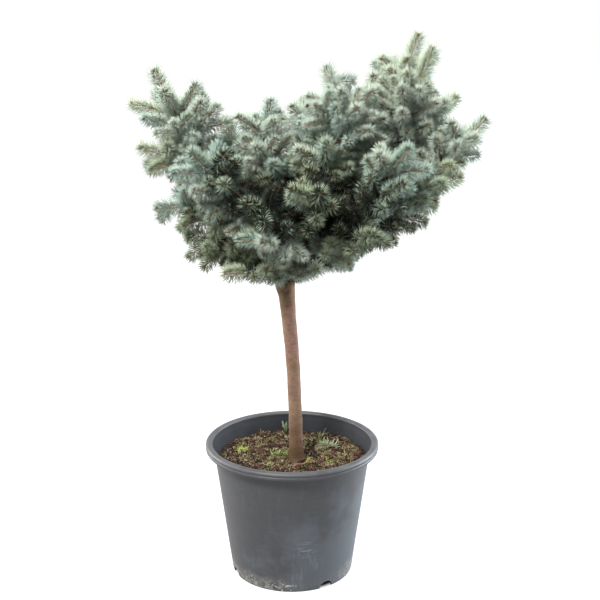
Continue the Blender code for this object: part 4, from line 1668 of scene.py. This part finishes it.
def notchCutter(bearing):
    # round-topped bar that runs out through the foot ring
    half, tall = pot["notchWidth"] / 2, pot["notchHeight"]
    arch = [math.radians(a) for a in range(0, 181, 15)]
    outline = [(half, -0.01)]
    outline += [(half * math.cos(a), tall * (0.25 + 0.75 * math.sin(a))) for a in arch]
    outline += [(-half, -0.01)]
    bm = bmesh.new()
    near = [bm.verts.new((pot["footRadius"] - pot["notchPast"], y, z)) for y, z in outline]
    far = [bm.verts.new((pot["baseRadius"] + pot["notchPast"], y, z)) for y, z in outline]
    closeRings(bm, [near, far], capped=True)
    bmesh.ops.rotate(bm, verts=bm.verts, matrix=Matrix.Rotation(math.radians(bearing), 3, "Z"))
    return newPiece("notchCutter", meshFrom(bm))


def makePot():
    shell = turned(potProfile(), pot["segments"])
    grain, tall, rise = pot["waves"]
    for vert in shell.verts:
        # moulded plastic is never quite true; the foot stays flat
        share = min(vert.co.z / rise, 1) * noise.noise(vert.co * grain)
        vert.co += Vector((vert.co.x, vert.co.y, 0)).normalized() * share * tall
    piece = newPiece("potShell", meshFrom(shell))
    cutters = [notchCutter(bearing) for bearing in pot["notchBearings"]]
    for cutter in cutters:
        cut = piece.modifiers.new("notch", "BOOLEAN")
        cut.operation, cut.solver, cut.object = "DIFFERENCE", "EXACT", cutter
    mesh = bakeShape(piece)
    for cutter in cutters:
        bpy.data.objects.remove(cutter)
    mesh.materials.clear()
    mesh.materials.append(potPlastic())
    mesh.shade_smooth()
    mesh.set_sharp_from_angle(angle=math.radians(pot["sharpAngle"]))
    keepPiece(piece, "pot", "pot", smooth=False)


potLook = {
    "base": (0.055, 0.056, 0.061),
    "dull": (0.098, 0.110, 0.126),
    # painted shade of the inner wall
    "inside": (0.014, 0.0155, 0.020),
    "film": (0.27, 0.262, 0.235),
    "mud": (0.52, 0.50, 0.44),
    # painted highlight on the top of the rim
    "rim": (0.110, 0.111, 0.117),
    "chip": (0.78, 0.76, 0.72),
    "scuff": (0.29, 0.30, 0.32),
    # middle and size of the scuffed blots: level scratches above, upright streaks lower down
    "level": ((0.030, -0.138, 0.104), 0.026),
    "upright": ((0.024, -0.136, 0.058), 0.060),
}


def potPlastic():
    # satin grey plastic: cloudy, scuffed low on the front, with dried mud along the foot
    finish, tree, shader = newFinish("potPlastic", 0.46, 0.5)
    where = placeOnPiece(tree)
    x, _, z = addNode(tree, "ShaderNodeSeparateXYZ", {"Vector": where}).outputs

    def plus(a, b):
        return maths(tree, "ADD", a, b)

    def times(a, b):
        return maths(tree, "MULTIPLY", a, b)

    def larger(a, b):
        return maths(tree, "MAXIMUM", a, b)

    def fade(value, low, high):
        return ranged(tree, value, low, high)

    def grains(scale, detail, roughness, stretch=None):
        return noiseNode(tree, placeOnPiece(tree, stretch) if stretch else where, scale, detail, roughness)

    def blot(middle, size):
        return fade(farFrom(tree, where, middle), size, size * 0.25)

    cloud = grains(11, 4, 0.6)
    # the duller, bluer film is thicker low on the right
    dull = fade(plus(cloud, plus(times(x, 1.5), times(z, -1.3))), 0.24, 0.54)
    tone = mixColours(tree, dull, potLook["base"], potLook["dull"])
    grain = ramp(tree, grains(260, 4, 0.7), (0.30, 0.86), (0.70, 1.12))
    tone = mixColours(tree, 0.6, tone, grain, "MULTIPLY")
    # scuffs, with a few faint ones all over
    upright = fade(grains(120, 3, 0.6, (1, 1, 0.10)), 0.50, 0.70)
    upright = times(upright, plus(blot(*potLook["upright"]), 0.10))
    level = fade(grains(260, 2, 0.5, (0.12, 0.12, 1)), 0.54, 0.66)
    level = times(level, plus(blot(*potLook["level"]), 0.05))
    scuffs = maths(tree, "MINIMUM", plus(times(upright, 0.6), level), 1.0)
    # mud: a film low on the left of the front, splashes in it, a fainter smear at the right
    height = plus(z, times(grains(34, 4, 0.6), -0.030))
    low = times(fade(height, 0.024, -0.014), plus(times(fade(x, 0.015, -0.045), 0.85), 0.15))
    smear = times(fade(height, 0.036, 0.004), fade(x, 0.088, 0.112))
    film = times(larger(low, times(smear, 0.7)), fade(grains(60, 5, 0.7), 0.34, 0.60))
    mud = times(film, fade(grains(300, 3, 0.7), 0.50, 0.60))
    chips = times(fade(grains(170, 2, 0.5), 0.62, 0.66), times(fade(z, 0.026, 0.008), fade(x, 0.022, -0.006)))
    chips = times(chips, fade(x, -0.062, -0.045))
    # the top of the rim is painted paler, a painted highlight along its crest
    rimCrestHighlight = times(fade(z, 0.281, 0.290), fade(cloud, 0.30, 0.55))
    for share, colour in ((times(scuffs, 0.62), "scuff"), (times(film, 0.82), "film"), (mud, "mud"),
                          (chips, "chip"), (times(rimCrestHighlight, 0.8), "rim")):
        tone = mixColours(tree, share, tone, potLook[colour])
    # inside, the wall is painted dark blue-grey, painted shade in the pot's hollow, with a faint mottle
    around = farFrom(tree, placeOnPiece(tree, (1, 1, 0)))
    slope = (pot["shoulderRadius"] - pot["baseRadius"]) / (pot["height"] - pot["lipDrop"] - pot["baseHeight"])
    outer = plus(times(z, slope), pot["baseRadius"] - pot["baseHeight"] * slope)
    inside = fade(maths(tree, "SUBTRACT", outer, around), 0.0006, 0.0018)
    ledge = times(fade(around, 0.1722, 0.1706), fade(z, 0.272, 0.275))
    inside = times(larger(inside, ledge), fade(z, 0.2885, 0.2855))
    insideShadeMottle = ramp(tree, grains(26, 4, 0.6), (0.35, 0.75), (0.65, 1.25))
    paintedInsideShade = mixColours(tree, 1.0, potLook["inside"], insideShadeMottle, "MULTIPLY")
    tree.links.new(mixColours(tree, inside, tone, paintedInsideShade), shader.inputs["Base Color"])
    rough = ranged(tree, cloud, 0.3, 0.7, "LINEAR", 0.42, 0.56)
    worn = larger(larger(film, scuffs), inside)
    tree.links.new(plus(rough, times(worn, 0.30)), shader.inputs["Roughness"])
    relief = plus(times(grains(300, 3, 0.6), 0.25), plus(times(mud, 1.4), times(scuffs, 0.5)))
    bump(tree, shader, relief, 0.35, 0.0008)
    return finish


# Soil: rough bark compost with moss, litter and a few weeds

soil = {
    "seed": 3,
    "level": 0.2510,
    "rings": 74,
    "spokes": 170,
    "bottom": 0.0199,
    # gap to the pot at the bottom, and how far the top presses into the wall
    "gap": 0.0006,
    "press": 0.0004,
    # hollow round the stem: depth, how wide, how far in front of it
    "hollow": 0.0042,
    "hollowReach": 0.036,
    "hollowAhead": 0.006,
    # how fine and how tall
    "lumps": ((24, 0.0060), (80, 0.0050), (210, 0.0022)),
    "litter": {
        # name: length, width, thickness, pieces a square metre, colour
        "barkChips": (0.0150, 0.0070, 0.0036, 3800, (0.082, 0.036, 0.027)),
        "darkCrumbs": (0.0070, 0.0055, 0.0050, 9000, (0.020, 0.012, 0.008)),
        "brownCrumbs": (0.0068, 0.0050, 0.0040, 5200, (0.10, 0.058, 0.037)),
        "paleChips": (0.0068, 0.0030, 0.0016, 5400, (0.42, 0.34, 0.25)),
    },
    # length, radius, pieces a square metre, colour
    "fibres": (0.022, 0.00045, 3400, (0.36, 0.22, 0.14)),
    "mosses": {
        # name: height, stems, pieces a square metre, colour
        "tanMoss": (0.0062, 10, 4200, (0.42, 0.36, 0.22)),
        "oliveMoss": (0.0060, 11, 3600, (0.27, 0.26, 0.110)),
        "greenMoss": (0.0056, 11, 1500, (0.32, 0.35, 0.140)),
    },
    # moss grows where a noise this fine is over a limit, which rises from one radius to the other
    "mossGrain": 34,
    "mossReach": (0.105, 0.150),
    "mossLimits": (-0.06, 0.30),
    # the litter keeps clear of the pot's wall and of the middle of the stem
    "wallClear": 0.010,
    "stemClear": 0.0205,
}


def soilHeight(x, y):
    here = soil["level"]
    for scale, tall in soil["lumps"]:
        here += noise.noise(Vector((x * scale, y * scale, scale * 0.37))) * tall
    nearStem = math.hypot(x - trunkStations[0][1], y + soil["hollowAhead"])
    return here - soil["hollow"] * math.exp(-((nearStem / soil["hollowReach"]) ** 2))


def soilRadius():
    share = (soil["level"] - pot["baseHeight"]) / (pot["height"] - pot["lipDrop"])
    return lerp(pot["footRadius"], pot["shoulderRadius"], share) - pot["wall"] + soil["press"]


def makeSoil():
    radius = soilRadius()
    bottom = pot["footRadius"] - pot["wall"] - soil["gap"], soil["bottom"]
    spokes, count = soil["spokes"], soil["rings"]
    bm = bmesh.new()
    rings = [ringOf(bm, radius * i / count, soilHeight, spokes if i else 1) for i in range(count + 1)]
    rings += [ringOf(bm, *bottom, spokes), ringOf(bm, 0, bottom[1], 1)]
    piece = newPiece("soilBed", meshFrom(closeRings(bm, rings)))
    piece.data.materials.append(compost())
    return piece


def compost():
    def mossed(tree, where, tone):
        moss = ramp(tree, noiseNode(tree, where, 34, 5, 0.7), (0.54, 0.0), (0.64, 1.0))
        green = ramp(tree, noiseNode(tree, where, 300, 4, 0.7), (0.34, (0.040, 0.034, 0.014)),
                     (0.64, (0.24, 0.21, 0.10)))
        return mixColours(tree, moss, tone, green)

    return mottled("compost", 0.95, 0.15, (160, 6, 0.7), (0.34, (0.010, 0.006, 0.004)),
                   (0.50, (0.036, 0.020, 0.013)), (0.66, (0.14, 0.080, 0.052)),
                   over=mossed, relief=((260, 6, 0.75), 0.8, 0.003))


def plainMatter(name, colour, spread=0.35, roughness=0.9):
    # one small litter colour, lighter and darker from place to place
    dark = tuple(c * (1 - spread) for c in colour)
    pale = tuple(min(c * (1 + spread), 1) for c in colour)
    return mottled(name, roughness, 0.2, (130, 3, 0.6), (0.34, dark), (0.66, pale),
                   relief=((700, 3, 0.6), 0.4, 0.0006))


def chipShape(length, width, thick, seed):
    # a torn splinter with ragged corners
    rng = random.Random(seed)
    bm = bmesh.new()
    rings = []
    for share, swell in ((-0.5, 0.55), (-0.1, 1.0), (0.28, 0.9), (0.5, 0.35)):
        ring = []
        for k in range(5):
            a = 2 * math.pi * (k + rng.uniform(-0.3, 0.3)) / 5
            ring.append(bm.verts.new((
                length * (share + rng.uniform(-0.06, 0.06)),
                width / 2 * swell * math.cos(a) * rng.uniform(0.75, 1.15),
                thick / 2 * swell * math.sin(a) * rng.uniform(0.75, 1.15),
            )))
        rings.append(ring)
    return newPiece("chipPattern", meshFrom(closeRings(bm, rings, capped=True)))


def fibreShape(length, radius, seed):
    rng = random.Random(seed)
    bend, twist = rng.uniform(0.25, 0.5), rng.uniform(-0.2, 0.2)
    points = []
    for i in range(7):
        t = i / 6 - 0.5
        across = bend * t * t * 2 + twist * t**3 * 4
        points.append(Vector((length * t, length * across, length * 0.10 * (0.25 - t * t))))
    return newPiece("fibrePattern", tubeMesh([(points, [radius] * 7)], 3))


def tuftShape(height, stems, seed, spread=0.9):
    # a cushion of short pointed stems
    rng = random.Random(seed)
    spots, faces = [], []
    for k in range(stems):
        a, far = k * goldenTurn, math.sqrt((k + 0.5) / stems) * height * spread
        lean = direction(math.degrees(a), 82 - 48 * far / (height * spread) + rng.uniform(-12, 12))
        foot = Vector((math.cos(a) * far, math.sin(a) * far, -height * 0.25))
        tall = height * rng.uniform(0.8, 1.3)
        side = lean.orthogonal().normalized()
        first = len(spots)
        for share, wide in ((0.0, 0.08), (0.6, 0.115)):
            spots += [foot + lean * tall * share + Quaternion(lean, j * 2.094) @ side * height * wide
                      for j in range(3)]
        spots.append(foot + lean * tall)
        faces += [(first, first + 2, first + 1), *wallFaces(first, 2, 3)]
        faces += [(first + 3 + j, first + 3 + (j + 1) % 3, first + 6) for j in range(3)]
    return newPiece("tuftPattern", meshOf(spots, faces))


def strewSoil(bed):
    tree = strewTree()

    def strew(name, pattern, colour, many, *rest, spread=0.35):
        litter = newPiece(name, inBed(bed.data, name, patchy="Moss" in name))
        numbers = dict(zip(("Smallest", "Largest", "Tilt", "Lift", "Seed"), rest))
        finish = plainMatter(name, colour, spread)
        runTree(litter, tree, Thing=pattern, Finish=finish, PerSquareMetre=float(many), **numbers)
        bpy.data.objects.remove(pattern)
        keepPiece(litter, "soil", smooth=False)

    for n, (name, (length, width, thick, many, colour)) in enumerate(soil["litter"].items()):
        pattern = chipShape(length, width, thick, soil["seed"] + n)
        strew(name, pattern, colour, many, 0.55, 1.25, 0.5, 0.0002, 11 + n)
    length, radius, many, colour = soil["fibres"]
    strew("coirFibres", fibreShape(length, radius, 4), colour, many, 0.5, 1.2, 0.28, 0.0010, 21)
    for n, (name, (height, stems, many, colour)) in enumerate(soil["mosses"].items()):
        pattern = tuftShape(height, stems, soil["seed"] + n)
        strew(name, pattern, colour, many, 0.5, 1.25, 0.45, 0.0004, 31 + n, spread=0.40)


def inBed(mesh, name, patchy):
    # the soil's upper faces, away from the wall and the stem; moss grows in patches
    bm = bmesh.new()
    bm.from_mesh(mesh)
    rim = soilRadius() - soil["wallClear"]
    stem = Vector((trunkStations[0][1], 0, 0))
    near, far = soil["mossReach"]
    gone = []
    for face in bm.faces:
        middle = face.calc_center_median()
        flat = Vector((middle.x, middle.y, 0))
        limit = lerp(*soil["mossLimits"], clamp((flat.length - near) / (far - near)))
        bare = patchy and noise.noise(middle * soil["mossGrain"] + up * len(name)) < limit
        if face.normal.z < 0.2 or flat.length > rim or (flat - stem).length < soil["stemClear"] or bare:
            gone.append(face)
    bmesh.ops.delete(bm, geom=gone, context="FACES")
    return meshFrom(bm)


weeds = {
    # name: place on the soil, how wide, stems, leaf length, leaf width, how upright, colour
    "greenWeed": ((-0.026, 0.012), 0.021, 22, 0.013, 0.0022, 34, (0.34, 0.40, 0.13)),
    "greenWeedBack": ((-0.042, 0.030), 0.016, 14, 0.011, 0.0022, 30, (0.35, 0.40, 0.15)),
    "yellowWeed": ((-0.108, 0.032), 0.013, 18, 0.014, 0.0022, 44, (0.47, 0.50, 0.13)),
    "featherWeed": ((0.076, 0.066), 0.026, 22, 0.017, 0.0030, 46, (0.46, 0.52, 0.33)),
    "featherWeedLow": ((0.050, 0.084), 0.024, 18, 0.013, 0.0024, 36, (0.34, 0.38, 0.17)),
    "featherWeedTall": ((0.060, 0.096), 0.004, 4, 0.030, 0.0018, 76, (0.34, 0.36, 0.16)),
    "sprout": ((-0.016, 0.150), 0.004, 4, 0.026, 0.0032, 80, (0.26, 0.33, 0.20)),
    "mossyBit": ((0.040, -0.014), 0.010, 14, 0.009, 0.0022, 40, (0.48, 0.50, 0.14)),
    "mossyBitRight": ((0.070, -0.024), 0.013, 16, 0.009, 0.0022, 36, (0.50, 0.52, 0.16)),
    "wallWeed": ((-0.148, 0.018), 0.006, 5, 0.009, 0.0022, 44, (0.16, 0.17, 0.07)),
    "frontWeed": ((-0.050, -0.050), 0.014, 14, 0.009, 0.0022, 40, (0.42, 0.40, 0.18)),
    "rightWeed": ((0.112, 0.004), 0.014, 14, 0.010, 0.0022, 36, (0.42, 0.42, 0.18)),
}


weedGrowth = {
    "seed": 60,
    "leaves": 3,
    "bearingStray": 70,
    "riseStray": 22,
    "lengths": (0.6, 1.15),
    "droops": (0.3, 1.2),
    "sections": 5,
}


def leafRow(spots, faces, foot, heading, length, width, droop):
    # one narrow leaf: a flat diamond section that tapers and bends over
    sections = weedGrowth["sections"]
    across = heading.cross(up).normalized()
    first = len(spots)
    point, ahead = foot.copy(), heading.copy()
    for i in range(sections):
        wide = width * math.sin(math.pi * (0.12 + 0.80 * i / (sections - 1))) / 2
        over = across.cross(ahead).normalized()
        for out, lift in ((1, 0), (0, 0.28), (-1, 0), (0, -0.28)):
            spots.append(point + across * wide * out + over * wide * lift)
        point = point + ahead * length / (sections - 1)
        ahead = (ahead - up * droop / sections).normalized()
    last = len(spots) - 4
    faces += [(first + 3, first + 2, first + 1, first), (last, last + 1, last + 2, last + 3)]
    faces += wallFaces(first, sections, 4)


def makeWeeds():
    stray, riseStray = weedGrowth["bearingStray"], weedGrowth["riseStray"]
    for index, (name, ((atX, atY), wide, stems, length, width, rise, colour)) in enumerate(weeds.items()):
        rng = random.Random(weedGrowth["seed"] + index)
        spots, faces = [], []
        for k in range(stems):
            a, far = k * goldenTurn, wide * math.sqrt((k + 0.5) / stems) * rng.uniform(0.7, 1.1)
            x, y = atX + math.cos(a) * far * 0.75, atY + math.sin(a) * far * 0.75
            foot = Vector((x, y, soilHeight(x, y) - 0.001))
            for _ in range(weedGrowth["leaves"]):
                bearing = math.degrees(a) + rng.uniform(-stray, stray)
                heading = direction(bearing, rise + rng.uniform(-riseStray, riseStray))
                tall, droop = length * rng.uniform(*weedGrowth["lengths"]), rng.uniform(*weedGrowth["droops"])
                leafRow(spots, faces, foot, heading, tall, width, droop)
        dress(name, meshOf(spots, faces), plainMatter(name, colour, 0.30, 0.6), "soil")


surfaceRoot = {
    "route": ((-0.016, -0.074), (-0.010, -0.066), (0.000, -0.053), (0.010, -0.042), (0.020, -0.034),
              (0.032, -0.029), (0.042, -0.029)),
    "radius": 0.0013,
    "rings": 22,
}


def makeRoot():
    points = [Vector((x, y, soilHeight(x, y) + 0.0012)) for x, y in surfaceRoot["route"]]
    count = surfaceRoot["rings"]
    radii = [surfaceRoot["radius"] * (1 - 0.4 * abs(i / (count - 1) - 0.4)) for i in range(count)]
    tube = tubeMesh([(smoothPath(points, count), radii)], 8)
    dress("surfaceRoot", tube, plainMatter("rootSkin", (0.36, 0.20, 0.13), 0.3, 0.7), "soil")


print("studio")
makeCamera()
makeStudio()
print("pot and soil")
makePot()
bed = makeSoil()
strewSoil(bed)
keepPiece(bed, "soil", "soil")
makeWeeds()
makeRoot()
print("trunk")
makeTrunk()
print("crown")
limbs, shoots, room = growCrown()
shoots += growFiner(limbs, shoots, room)
cutShoots(shoots)
setOpenness(shoots)
makeBoughs(limbs)
onPoints = growNeedles(limbs, shoots)
growTwigs(limbs, shoots)
growBuds(shoots, onPoints)
